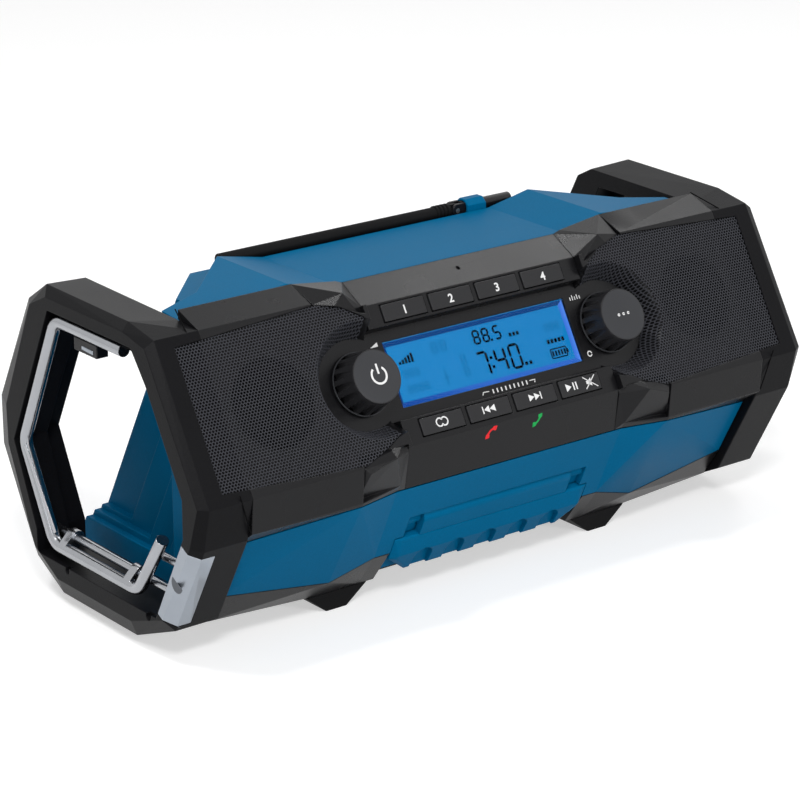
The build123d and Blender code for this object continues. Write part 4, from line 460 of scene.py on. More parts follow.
@dataclass(frozen=True)
class ClearSheet(Finish):
    """A clear moulded sheet with a low-glare film.

    Attributes:
        ior: Index of refraction; acrylic is 1.49, lowered for the weak reflection of its anti-glare film.
        haze_mm: Size of the faint swirls of wiping.
        wiped: Roughness where a swirl is strongest.
    """

    ior: float = 1.12
    haze_mm: float = 9.0
    wiped: float = 0.01

    def wire(self, tree: bpy.types.NodeTree, place: bpy.types.NodeSocket) -> bpy.types.Node:
        """Wire a clear sheet with faint swirls.

        Args:
            tree: The material's node tree.
            place: Socket with the place on the piece, in metres.

        Returns:
            The shader node.
        """
        swirl = add_node(tree, "TexNoise", Vector=place, Scale=1 / (self.haze_mm * MM), Detail=4.0)
        rough = add_node(tree, "MapRange", Value=swirl.outputs["Fac"], To_Min=0.0, To_Max=self.wiped)
        return add_node(
            tree, "BsdfPrincipled", Base_Color=linear("ffffff"), Roughness=rough.outputs["Result"],
            IOR=self.ior, Transmission_Weight=1.0,
        )


# Impact-modified ABS from a spark-eroded mould: a fine satin grain that greys where light rakes it.
SHELL_BLACK = MouldedPlastic("moulded_abs_charcoal", "101012", 0.28, gloss=0.17)
# Glass-filled nylon from a coarser mould: a drier and duller skin than the front's.
RING_BLACK = MouldedPlastic("moulded_nylon_charcoal", "0f0f11", 0.36, grain_mm=0.9, gloss=0.06)
# Soft thermoplastic rubber: a blunt sheen on a deep black.
RUBBER_BLACK = MouldedPlastic("moulded_rubber_black", "0b0b0c", 0.6, grain_mm=0.6, gloss=0.08)
# ABS coloured through: a matt skin that keeps its blue where light rakes it.
SHELL_BLUE = MouldedPlastic(
    "moulded_abs_blue", "005d86", 0.36, grain_mm=0.8, grain_depth=0.14, shade=0.08, gloss=0.02
)
# Punched steel sheet with baked powder: a dull even skin on every web.
MESH_POWDER = MouldedPlastic(
    "powder_coated_steel", "37383d", 0.42, grain_mm=0.3, grain_depth=0.12, gloss=0.12, edge_mm=0.1
)
# Knob skirts of hard ABS, a little glossier where fingers turn them.
KNOB_BLACK = MouldedPlastic(
    "turned_knob_abs", "222224", 0.33, grain_mm=0.5, grain_depth=0.1, gloss=0.2, edge_mm=0.3
)
# Satin ABS of the cap in the knob's end and of the flange: finer, duller and greyer than the skirt. On the
# flange that grey is a painted highlight along the skirt's foot.
CAP_GREY_AND_FLANGE_HIGHLIGHT = MouldedPlastic(
    "satin_cap_abs", "2e2f32", 0.42, grain_mm=0.4, grain_depth=0.08, shade=0.2, gloss=0.2, edge_mm=0.3
)
# Hard-coated key caps: slightly greyer than the deck round them.
KEY_BLACK = MouldedPlastic("key_cap_abs", "1c1c1e", 0.33, grain_mm=0.5, grain_depth=0.08, edge_mm=0.45)
# Chrome plate on drawn wire: long soft streaks along the bend.
CHROME = WorkedMetal("chrome_plated_wire", "a2a4a8", 0.22, mark_mm=1.6, mark_depth=0.04)
# Rolled and zinc-plated sheet: a grey satin with a cloudy passivation.
ZINC = WorkedMetal("zinc_plated_sheet", "9aa0a8", 0.36, mark_mm=0.5, mark_depth=0.06, stretch=6.0)
# Nickel plate on turned and drawn steel: the shafts, encoders and hinge pins, bright and faintly warm.
NICKEL = WorkedMetal("nickel_plated_steel", "8d8a84", 0.3, mark_mm=0.4, mark_depth=0.05)
# Punched mark in the plate, dull from the punch; its darker grey is painted shade in the dimple.
STAMPED_SHADE = WorkedMetal("punched_mark_painted_shade", "5c5f64", 0.5, mark_mm=0.3, mark_depth=0.1)
# Woven glass laminate under green lacquer.
CIRCUIT = MouldedPlastic("circuit_laminate_green", "1d5b33", 0.35, grain_mm=0.5, grain_depth=0.1, gloss=0.5)
# Pressed paper pulp of the speaker cones.
PULP = MouldedPlastic("pressed_paper_cone", "0a0a0b", 0.75, grain_mm=1.2, grain_depth=0.4, gloss=0.1)
# Shrink-wrapped film of the backup cells.
WRAP = MouldedPlastic("printed_shrink_film", "5c6670", 0.3, grain_mm=2.0, grain_depth=0.05, gloss=0.5)
# Screen inks: white on the keys, caps and deck, red and green for the handset signs.
WHITE_INK = Ink("screen_ink_white", "dcdcdc")
RED_INK = Ink("screen_ink_red", "e0262c")
GREEN_INK = Ink("screen_ink_green", "12a04c")
# Twisted liquid crystal: the dark of a driven segment and the faint trace of an idle one.
LCD_DARK = EdgeLitSheet("driven_lcd_segment", "030a14", "030a14")
LCD_IDLE = EdgeLitSheet("idle_lcd_segment", "0068a6", "0066a4")
# Acrylic light guide behind the glass, an even sky blue.
GUIDE = EdgeLitSheet("light_guide_blue", "1883c8", "147fc4")
# The guide's moulded rim glows: its top and left walls are deep blue with painted shade, and its lower and
# right walls are brighter towards the right end, where the lamps sit.
RIM_TOP_SHADED = EdgeLitSheet("light_guide_rim_top", "0c3f80", "12407c", 20.0, 52.0)
RIM_LOW = EdgeLitSheet("light_guide_rim_low", "1048a4", "2c66c8", -50.0, 0.0)
RIM_LEFT_SHADED = EdgeLitSheet("light_guide_rim_left", "0c3a7c", "0c3a7c")
RIM_RIGHT = EdgeLitSheet("light_guide_rim_right", "2c62cc", "5088ec", 50.5, 53.5)
# Hard-coated acrylic window.
WINDOW = ClearSheet("hard_coated_acrylic")
# Stamped steel under black lacquer: the baskets' rims show faintly behind the holes.
BASKET = MouldedPlastic("black_lacquered_steel", "0c0c0d", 0.5, gloss=0.08)
# Shadow line where two mouldings meet.
GAP_BLACK = MouldedPlastic("shadow_gap_black", "060607", 0.8, gloss=0.05, edge_mm=0.05)

DRESS: dict[Finish, tuple[str, ...]] = {
    SHELL_BLACK: (
        "front_frame", "console_panel", "base_skid", "antenna_base", "cell_tray", "battery_pack",
        "battery_terminals", "key_switches", "aux_sockets", "hook_clip",
    ),
    RING_BLACK: ("left_end_ring", "right_end_ring"),
    RUBBER_BLACK: ("feet", "port_cover", "speaker_gaskets", "antenna_mast"),
    SHELL_BLUE: (
        "roof_panel", "rear_housing", "lower_front_panel", "left_end_wall", "right_end_wall", "hatch",
        "antenna_clamp", "battery_release",
    ),
    KNOB_BLACK: ("left_knob", "right_knob"),
    KEY_BLACK: tuple(f"{row}_key_{place}" for row in ("top", "low") for place in range(1, 5)),
    CHROME: ("hook", "hook_pins"),
    ZINC: ("hook_plate", "left_speaker_magnet", "right_speaker_magnet", "base_screws"),
    NICKEL: (
        "left_knob_shaft", "right_knob_shaft", "left_encoder", "right_encoder", "left_knob_plunger",
        "right_knob_plunger", "hatch_pins", "antenna_pin", "port_cover_pin",
    ),
    GUIDE: ("display_module",),
    CIRCUIT: ("main_board", "key_board"),
    PULP: ("left_speaker_cone", "right_speaker_cone"),
    BASKET: ("left_speaker_basket", "right_speaker_basket"),
    WRAP: ("backup_cells",),
    WINDOW: ("display_lens",),
    MESH_POWDER: ("left_grille", "right_grille"),
}


def link(thing: bpy.types.Object) -> None:
    """Put an object in the scene."""
    bpy.context.scene.collection.objects.link(thing)


def add_mesh(
    name: str, points: list[Vector], faces: list[Face], finish: Finish, body: str
) -> bpy.types.Object:
    """Make a mesh piece, dress it and let it ride on a body.

    Args:
        name: Name of the piece.
        points: Its vertices, in metres.
        faces: Its faces.
        finish: What it is made of.
        body: The body that carries it.

    Returns:
        The piece.
    """
    mesh = bpy.data.meshes.new(name)
    mesh.from_pydata([tuple(p) for p in points], [], faces)
    mesh.materials.append(finish.build())
    piece = bpy.data.objects.new(name, mesh)
    link(piece)
    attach(piece, body)
    LOG.info("made %s", name)
    return piece


def soften(piece: bpy.types.Object, width_mm: float) -> None:
    """Round a piece's sharp edges as a mould or a press leaves them.

    Args:
        piece: The piece.
        width_mm: Width of the rounding.
    """
    weld = piece.modifiers.new("weld", "WELD")
    weld.merge_threshold = WELD_MM * MM
    bevel = piece.modifiers.new("bevel", "BEVEL")
    bevel.width = width_mm * MM
    bevel.segments = EASE_STEPS
    bevel.limit_method = "ANGLE"
    bevel.angle_limit = math.radians(SHARP_DEG)
    bevel.harden_normals = True


def anticlockwise(outline: Outline) -> Outline:
    """Return an outline's corners in anticlockwise order.

    Args:
        outline: Its corners in either order.

    Returns:
        The same corners, turned round if they ran clockwise.
    """
    turn = sum(a[0] * b[1] - b[0] * a[1] for a, b in zip(outline, outline[1:] + outline[:1]))
    return outline if turn > 0 else outline[::-1]


def plate_faces(first: int, count: int) -> list[Face]:
    """Return the faces of a plate whose back corners come just before its face corners.

    Args:
        first: Number of the first back corner.
        count: Corners of the back, and of the face.

    Returns:
        Its face, its back and its sides.
    """
    top = first + count
    sides = [(first + i, first + (i + 1) % count, top + (i + 1) % count, top + i) for i in range(count)]
    return [tuple(range(top, top + count)), tuple(reversed(range(first, top))), *sides]


def add_plates(
    name: str, outlines: list[Outline], slope: Slope, low: float, high: float, finish: Finish, body: str
) -> bpy.types.Object:
    """Make thin plates with drawn outlines on a sloping surface, as one piece.

    Args:
        name: Name of the piece.
        outlines: Each plate's corners (u, v), in mm.
        slope: The surface.
        low: Height of the plates' backs above the surface, in mm.
        high: Height of their faces, in mm.
        finish: What they are made of.
        body: The body that carries them.

    Returns:
        The piece.
    """
    points: list[Vector] = []
    faces: list[Face] = []
    for outline in outlines:
        faces += plate_faces(len(points), len(outline))
        for w in (low, high):
            points += [slope.point(u, v, w) for u, v in anticlockwise(outline)]
    return add_mesh(name, points, faces, finish, body)


def bar(start: Flat, end: Flat, width: float) -> Outline:
    """Return the outline of a straight bar.

    Args:
        start: Middle of one end, in mm.
        end: Middle of the other end, in mm.
        width: Width of the bar, in mm.

    Returns:
        Its four corners.
    """
    across, along = end[0] - start[0], end[1] - start[1]
    length = math.hypot(across, along)
    du, dv = -along / length * width / 2, across / length * width / 2
    return [
        (start[0] - du, start[1] - dv), (end[0] - du, end[1] - dv),
        (end[0] + du, end[1] + dv), (start[0] + du, start[1] + dv),
    ]


def arc(centre: Flat, start_deg: float, stop_deg: float, reaches: list[float]) -> Outline:
    """Return points round a centre at even angles.

    Args:
        centre: The centre, in mm.
        start_deg: Angle of the first point.
        stop_deg: Angle of the last point.
        reaches: Each point's distance from the centre, in mm.

    Returns:
        The points.
    """
    steps = len(reaches) - 1
    angles = [math.radians(start_deg + (stop_deg - start_deg) * i / steps) for i in range(steps + 1)]
    return [
        (centre[0] + reach * math.cos(angle), centre[1] + reach * math.sin(angle))
        for reach, angle in zip(reaches, angles)
    ]


def bow(centre: Flat, radius: float, start_deg: float, stop_deg: float, widths: list[float]) -> Outline:
    """Return the outline of a curved stroke whose width changes along it.

    Args:
        centre: Centre of the curve, in mm.
        radius: Radius of its middle line, in mm.
        start_deg: Angle of its start.
        stop_deg: Angle of its end.
        widths: Its widths at even steps along it, in mm.

    Returns:
        Its corners.
    """
    outer = arc(centre, start_deg, stop_deg, [radius + width / 2 for width in widths])
    inner = arc(centre, start_deg, stop_deg, [radius - width / 2 for width in widths])
    return outer + inner[::-1]


@dataclass
class PerforatedGrille:
    """One speaker grille: a steel sheet with hexagon holes, pressed down round the knob.

    Attributes:
        side: The half of the radio that it covers.
        pitch: Distance between holes in a row.
        rise: Distance between rows.
        web: Width of steel between holes.
        gauge: Thickness of the sheet.
        face_w: Height of its face above the front.
        knob: Place of the knob that it runs round, mirrored by side.
        press_edge: Radius where the pressing starts.
        press_run: Run of the pressed wall for each millimetre of depth.
        press_end: Radius where the sheet ends.
        outline: Its corners on the right half.
        span_u: From where to where holes are punched along X before the sheet is trimmed.
        span_v: Up to where they are punched up the front.
    """

    side: Side
    pitch: float = 1.63
    rise: float = 1.3
    web: float = 0.38
    gauge: float = 0.5
    face_w: float = -0.65
    knob: Flat = (72.6, 37.5)
    press_edge: float = 27.26
    press_run: float = 0.638
    press_end: float = 21.1
    outline: tuple[Flat, ...] = (
        (164.8, 5.4), (164.8, 71.2), (89.0, 75.6), (75.6, 71.6),
        (66.0, 65.5), (66.0, 11.0), (75.6, 5.8), (89.0, 0.8),
    )
    span_u: Flat = (60.0, 170.0)
    span_v: float = 80.0

    def holes(self) -> bmesh.types.BMesh:
        """Return the flat sheet with its holes, in mm, before it is trimmed."""
        sheet = bmesh.new()
        made: dict[tuple[int, int], bmesh.types.BMVert] = {}
        cells = 20  # Corners within a twentieth of a millimetre are one vertex.
        reach = self.rise * 2 / 3
        stretch = self.pitch / (reach * math.sqrt(3))
        keep = 1 - self.web / self.pitch
        corners = [math.radians(30 + 60 * k) for k in range(6)]
        first, last = (int(edge / self.pitch) for edge in self.span_u)
        for row in range(int(self.span_v / self.rise)):
            v = row * self.rise
            for column in range(first, last):
                u = column * self.pitch + (row % 2) * self.pitch / 2
                rim, hole = [], []
                for angle in corners:
                    place = (u + stretch * reach * math.cos(angle), v + reach * math.sin(angle))
                    key = (round(place[0] * cells), round(place[1] * cells))
                    if key not in made:
                        made[key] = sheet.verts.new((*place, 0.0))
                    rim.append(made[key])
                    hole.append(sheet.verts.new((u + (place[0] - u) * keep, v + (place[1] - v) * keep, 0.0)))
                for k in range(6):
                    n = (k + 1) % 6
                    sheet.faces.new((rim[k], rim[n], hole[n], hole[k]))
        return sheet

    def trim(self, sheet: bmesh.types.BMesh) -> None:
        """Cut the sheet to its outline and open it round the knob.

        Args:
            sheet: The flat sheet, in mm.
        """
        tolerance = 0.0005
        ring = self.outline
        for (u0, v0), (u1, v1) in zip(ring, ring[1:] + ring[:1]):
            bmesh.ops.bisect_plane(
                sheet, geom=sheet.verts[:] + sheet.edges[:] + sheet.faces[:], dist=tolerance,
                plane_co=(u0, v0, 0.0), plane_no=(v1 - v0, u0 - u1, 0.0), clear_outer=True,
            )
        inside = []
        for face in sheet.faces:
            middle = face.calc_center_median()
            if math.hypot(middle.x - self.knob[0], middle.y - self.knob[1]) < self.press_end:
                inside.append(face)
        bmesh.ops.delete(sheet, geom=inside, context="FACES")

    def press(self, u: float, v: float) -> float:
        """Return the sheet's height at a place.

        Args:
            u: Place along X, in mm, on the right half.
            v: Place up the front, in mm.

        Returns:
            Height above the front, in mm.
        """
        reach = math.hypot(u - self.knob[0], v - self.knob[1])
        if reach >= self.press_edge:
            return self.face_w
        return (reach - self.press_edge) / self.press_run + self.face_w

    def build(self) -> None:
        """Make the grille in place of the plain sheet of the frame."""
        sheet = self.holes()
        self.trim(sheet)
        for vert in sheet.verts:
            u, v = vert.co.x, vert.co.y
            vert.co = FRONT.point(self.side.value * u, v, self.press(u, v))
        if self.side is Side.LEFT:
            bmesh.ops.reverse_faces(sheet, faces=sheet.faces[:])
        mesh = bpy.data.meshes.new(f"{self.side.word}_hex_grille")
        sheet.to_mesh(mesh)
        sheet.free()
        mesh.materials.append(MESH_POWDER.build())
        piece = bpy.data.objects.new(mesh.name, mesh)
        link(piece)
        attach(piece, "radio")
        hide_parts(f"{self.side.word}_grille")
        skin = piece.modifiers.new("gauge", "SOLIDIFY")
        skin.thickness = self.gauge * MM
        skin.offset = -1.0
        LOG.info("punched %s", piece.name)


# The driven segments of each digit: a at the top, then clockwise to f, and g in the middle.
SEGMENTS = {
    "0": "abcdef", "1": "bc", "2": "abged", "3": "abgcd", "4": "fgbc",
    "5": "afgcd", "6": "afgedc", "7": "abc", "8": "abcdefg", "9": "abcdfg",
}


@dataclass(frozen=True)
class Digits:
    """Seven-segment numbers of the display.

    Attributes:
        height: Height of a digit.
        width: Width of a digit.
        stroke: Width of a segment.
        gap: Gap between segments.
        pitch: Distance from one digit to the next.
    """

    height: float
    width: float
    stroke: float
    gap: float
    pitch: float

    def outlines(self, number: str, u: float, v: float) -> list[Outline]:
        """Return the outlines of a digit's segments.

        Args:
            number: One decimal digit.
            u: Left edge, in mm.
            v: Lower edge, in mm.

        Returns:
            One outline for each driven segment, with mitred ends.
        """
        half, tip = self.stroke / 2, self.gap / 2
        left, right = half, self.width - half
        low, middle, top = half, self.height / 2, self.height - half
        ends = {
            "a": ((left, top), (right, top)), "b": ((right, top), (right, middle)),
            "c": ((right, middle), (right, low)), "d": ((left, low), (right, low)),
            "e": ((left, middle), (left, low)), "f": ((left, top), (left, middle)),
            "g": ((left, middle), (right, middle)),
        }
        made = []
        for name in SEGMENTS[number]:
            (u0, v0), (u1, v1) = ends[name]
            span = math.hypot(u1 - u0, v1 - v0)
            du, dv = (u1 - u0) / span, (v1 - v0) / span
            nu, nv = -dv * half, du * half
            a = (u + u0 + du * tip, v + v0 + dv * tip)
            b = (u + u1 - du * tip, v + v1 - dv * tip)
            inner_a = (a[0] + du * half, a[1] + dv * half)
            inner_b = (b[0] - du * half, b[1] - dv * half)
            made.append([
                a, (inner_a[0] - nu, inner_a[1] - nv), (inner_b[0] - nu, inner_b[1] - nv),
                b, (inner_b[0] + nu, inner_b[1] + nv), (inner_a[0] + nu, inner_a[1] + nv),
            ])
        return made


@dataclass(frozen=True)
class DigitRow:
    """A number set down on the display.

    Attributes:
        digits: Shape of its digits.
        number: The digits.
        u: Left edge of the first.
        v: Lower edge.
        split: Place in the row from which the digits stand further right.
        room: How much further right.
    """

    digits: Digits
    number: str
    u: float
    v: float
    split: int = 0
    room: float = 0.0

    def outlines(self) -> list[Outline]:
        """Return the outlines of all its segments."""
        made: list[Outline] = []
        for place, digit in enumerate(self.number):
            shift = place * self.digits.pitch + (self.room if place >= self.split else 0.0)
            made += self.digits.outlines(digit, self.u + shift, self.v)
        return made


@dataclass(frozen=True)
class Blocks:
    """A row of equal dark blocks on the display.

    Attributes:
        starts: Left edge of each block.
        v: Middle of the row up the front.
        length: Length of a block along X.
        height: Height of a block.
    """

    starts: tuple[float, ...]
    v: float
    length: float
    height: float

    def outlines(self) -> list[Outline]:
        """Return one outline for each block."""
        return [bar((u, self.v), (u + self.length, self.v), self.height) for u in self.starts]


CLOCK_DIGITS = Digits(height=12.2, width=6.6, stroke=1.3, gap=0.3, pitch=8.5)
TUNER_DIGITS = Digits(height=7.0, width=4.2, stroke=1.0, gap=0.2, pitch=5.4)
LARGE_IDLE_DIGITS = Digits(height=5.2, width=3.6, stroke=0.6, gap=0.2, pitch=5.2)
MIDDLE_IDLE_DIGITS = Digits(height=4.6, width=3.0, stroke=0.5, gap=0.2, pitch=4.0)
SMALL_IDLE_DIGITS = Digits(height=3.9, width=2.5, stroke=0.5, gap=0.2, pitch=3.2)
# What is dark: the time with its colon, the station with its point, and plain blocks for words.
DRIVEN: tuple[DigitRow | Blocks, ...] = (
    DigitRow(CLOCK_DIGITS, "740", -4.0, 27.0, split=1, room=1.8),
    Blocks((3.6,), 30.8, 1.4, 1.4),
    Blocks((3.6,), 35.2, 1.4, 1.4),
    DigitRow(TUNER_DIGITS, "885", -2.2, 42.5, split=2, room=1.4),
    Blocks((7.6,), 43.1, 1.1, 1.1),
    Blocks((18.4, 20.6, 22.8), 43.4, 1.4, 1.8),
    Blocks((22.2, 24.8), 28.5, 1.6, 1.7),
    Blocks((38.4, 40.6, 42.8, 45.0, 47.2), 35.6, 1.5, 2.0),
)
# What is off and shows only faintly.
IDLE = (
    DigitRow(LARGE_IDLE_DIGITS, "88", -26.6, 43.5),
    DigitRow(MIDDLE_IDLE_DIGITS, "8", -12.6, 35.2),
    DigitRow(MIDDLE_IDLE_DIGITS, "8", -12.6, 29.6),
    DigitRow(SMALL_IDLE_DIGITS, "888", -45.6, 35.6),
    DigitRow(SMALL_IDLE_DIGITS, "8888", -46.0, 28.2),
    DigitRow(SMALL_IDLE_DIGITS, "888", 39.4, 40.4),
)


@dataclass
class Display:
    """The blue display behind its window.

    Attributes:
        window: Left, right, low and high edge of the opening in the deck.
        lit: The same edges of the lit field.
        window_w: Height of the window's face above the front.
        glass: Thickness of the window.
        corner: Size of the window's eased corners.
        rim_w: Height of the rim where it meets the window.
        rim_ease: How far the rim stays inside the opening.
        field_w: Height of the lit field.
        field_lap: How far the lit field runs on under the rim.
        field_back: Depth of the lit field's back below field_w.
        field_face: Height of its face above field_w.
        driven_w: Back and face of the driven segments, above the lit field.
        idle_w: Back and face of the idle segments, above the lit field.
        charge_at: Left and lower edge of the charge sign.
        reception_at: Left and lower edge of the reception sign.
        cross: Ends of the two strokes of the faint cross.
        cross_line: Width of those strokes.
    """

    window: Edges = (-53.5, 53.5, 22.7, 53.7)
    lit: Edges = (-50.6, 51.6, 25.2, 51.4)
    window_w: float = -10.95
    glass: float = 0.5
    corner: float = 0.8
    rim_w: float = -11.6
    rim_ease: float = 0.35
    field_w: float = -13.3
    field_lap: float = 1.0
    field_back: float = 0.1
    field_face: float = 0.02
    driven_w: Flat = (0.02, 0.2)
    idle_w: Flat = (0.01, 0.12)
    charge_at: Flat = (38.6, 27.4)
    reception_at: Flat = (-46.4, 42.2)
    cross: tuple[tuple[Flat, Flat], ...] = (((-23.2, 28.0), (-23.2, 34.8)), ((-25.0, 31.4), (-21.4, 31.4)))
    cross_line: float = 0.5

    def corners(self, edges: Edges, w: float) -> list[Vector]:
        """Return the four corners of a rectangle, anticlockwise from the low left.

        Args:
            edges: Left, right, low and high edge, in mm.
            w: Height above the front, in mm.

        Returns:
            The corners.
        """
        left, right, low, high = edges
        return [FRONT.point(u, v, w) for u, v in ((left, low), (right, low), (right, high), (left, high))]

    def pane(self) -> None:
        """Make the clear window with eased corners."""
        left, right, low, high = self.window
        ease = self.corner
        outline = [
            (left + ease, low), (right - ease, low), (right, low + ease), (right, high - ease),
            (right - ease, high), (left + ease, high), (left, high - ease), (left, low + ease),
        ]
        pane = add_plates(
            "display_window", [outline], FRONT, self.window_w - self.glass, self.window_w, WINDOW, "radio"
        )
        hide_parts("display_lens")

    def rim(self) -> None:
        """Make the four glowing walls that slope from the window down to the lit field; the top and left
        walls are darker with painted shade.
        """
        left, right, low, high = self.window
        ease = self.rim_ease
        edges = (left + ease, right - ease, low + ease, high - ease)
        outer = self.corners(edges, self.rim_w)
        inner = self.corners(self.lit, self.field_w)
        under = self.corners(edges, self.field_w)
        faces = [(0, 1, 2, 3), (3, 2, 4, 5), (1, 0, 5, 4), (0, 3, 5), (1, 4, 2)]
        # The darker glow of the top and left walls is painted shade.
        walls = (("low", RIM_LOW), ("right", RIM_RIGHT), ("top", RIM_TOP_SHADED), ("left", RIM_LEFT_SHADED))
        for i, (name, finish) in enumerate(walls):
            j = (i + 1) % 4
            points = [outer[i], outer[j], inner[j], inner[i], under[j], under[i]]
            add_mesh(f"display_rim_{name}", points, faces, finish, "radio")

    def field(self) -> None:
        """Lay the lit field with its driven and idle segments."""
        left, right, low, high = self.lit
        lap = self.field_lap
        sheet = [
            (left - lap, low - lap), (right + lap, low - lap),
            (right + lap, high + lap), (left - lap, high + lap),
        ]
        face = self.field_w + self.field_face
        add_plates("display_field", [sheet], FRONT, self.field_w - self.field_back, face, GUIDE, "radio")
        for name, outlines, (back, front), finish in (
            ("display_driven_segments", self.driven(), self.driven_w, LCD_DARK),
            ("display_idle_segments", self.idle(), self.idle_w, LCD_IDLE),
        ):
            add_plates(name, outlines, FRONT, face + back, face + front, finish, "radio")

    def driven(self) -> list[Outline]:
        """Return the outlines of all that is dark."""
        made = [outline for mark in DRIVEN for outline in mark.outlines()]
        return made + self.charge(*self.charge_at) + self.reception(*self.reception_at)

    def idle(self) -> list[Outline]:
        """Return the outlines of the faint digits and of the faint cross."""
        made = [outline for mark in IDLE for outline in mark.outlines()]
        return made + [bar(start, end, self.cross_line) for start, end in self.cross]

    def charge(self, u: float, v: float) -> list[Outline]:
        """Return the outlines of the charge sign.

        Args:
            u: Left edge, in mm.
            v: Lower edge, in mm.

        Returns:
            Its shell, cap and five bars.
        """
        length, height, line, cell, step = 9.4, 4.4, 0.6, 1.0, 1.75
        shell = [
            bar((u, v), (u + length, v), line), bar((u, v + height), (u + length, v + height), line),
            bar((u, v + 0.3), (u, v + 4.1), line), bar((u + length, v + 0.3), (u + length, v + 4.1), line),
        ]
        cap = bar((u + 10.0, v + 1.2), (u + 10.0, v + 3.2), 0.8)
        places = [u + 1.2 + step * i for i in range(5)]
        return [*shell, cap, *(bar((place, v + 0.9), (place, v + 3.5), cell) for place in places)]

    def reception(self, u: float, v: float) -> list[Outline]:
        """Return the outlines of the reception sign, five bars of growing height.

        Args:
            u: Left edge, in mm.
            v: Lower edge, in mm.

        Returns:
            One outline for each bar.
        """
        width, step, shortest, growth = 1.2, 1.8, 1.3, 0.75
        places = [u + 0.7 + step * i for i in range(5)]
        return [bar((place, v), (place, v + shortest + growth * i), width) for i, place in enumerate(places)]

    def build(self) -> None:
        """Make the whole display."""
        self.pane()
        self.rim()
        self.field()


@dataclass(frozen=True)
class Handset:
    """A curved handset sign on the lip.

    Attributes:
        colour: Word for its colour in its name.
        ink: What it is printed with.
        centre: Centre of its curve.
        radius: Radius of its middle line.
        start_deg: Angle of one end.
        stop_deg: Angle of the other end.
    """

    colour: str
    ink: Ink
    centre: Flat
    radius: float
    start_deg: float
    stop_deg: float


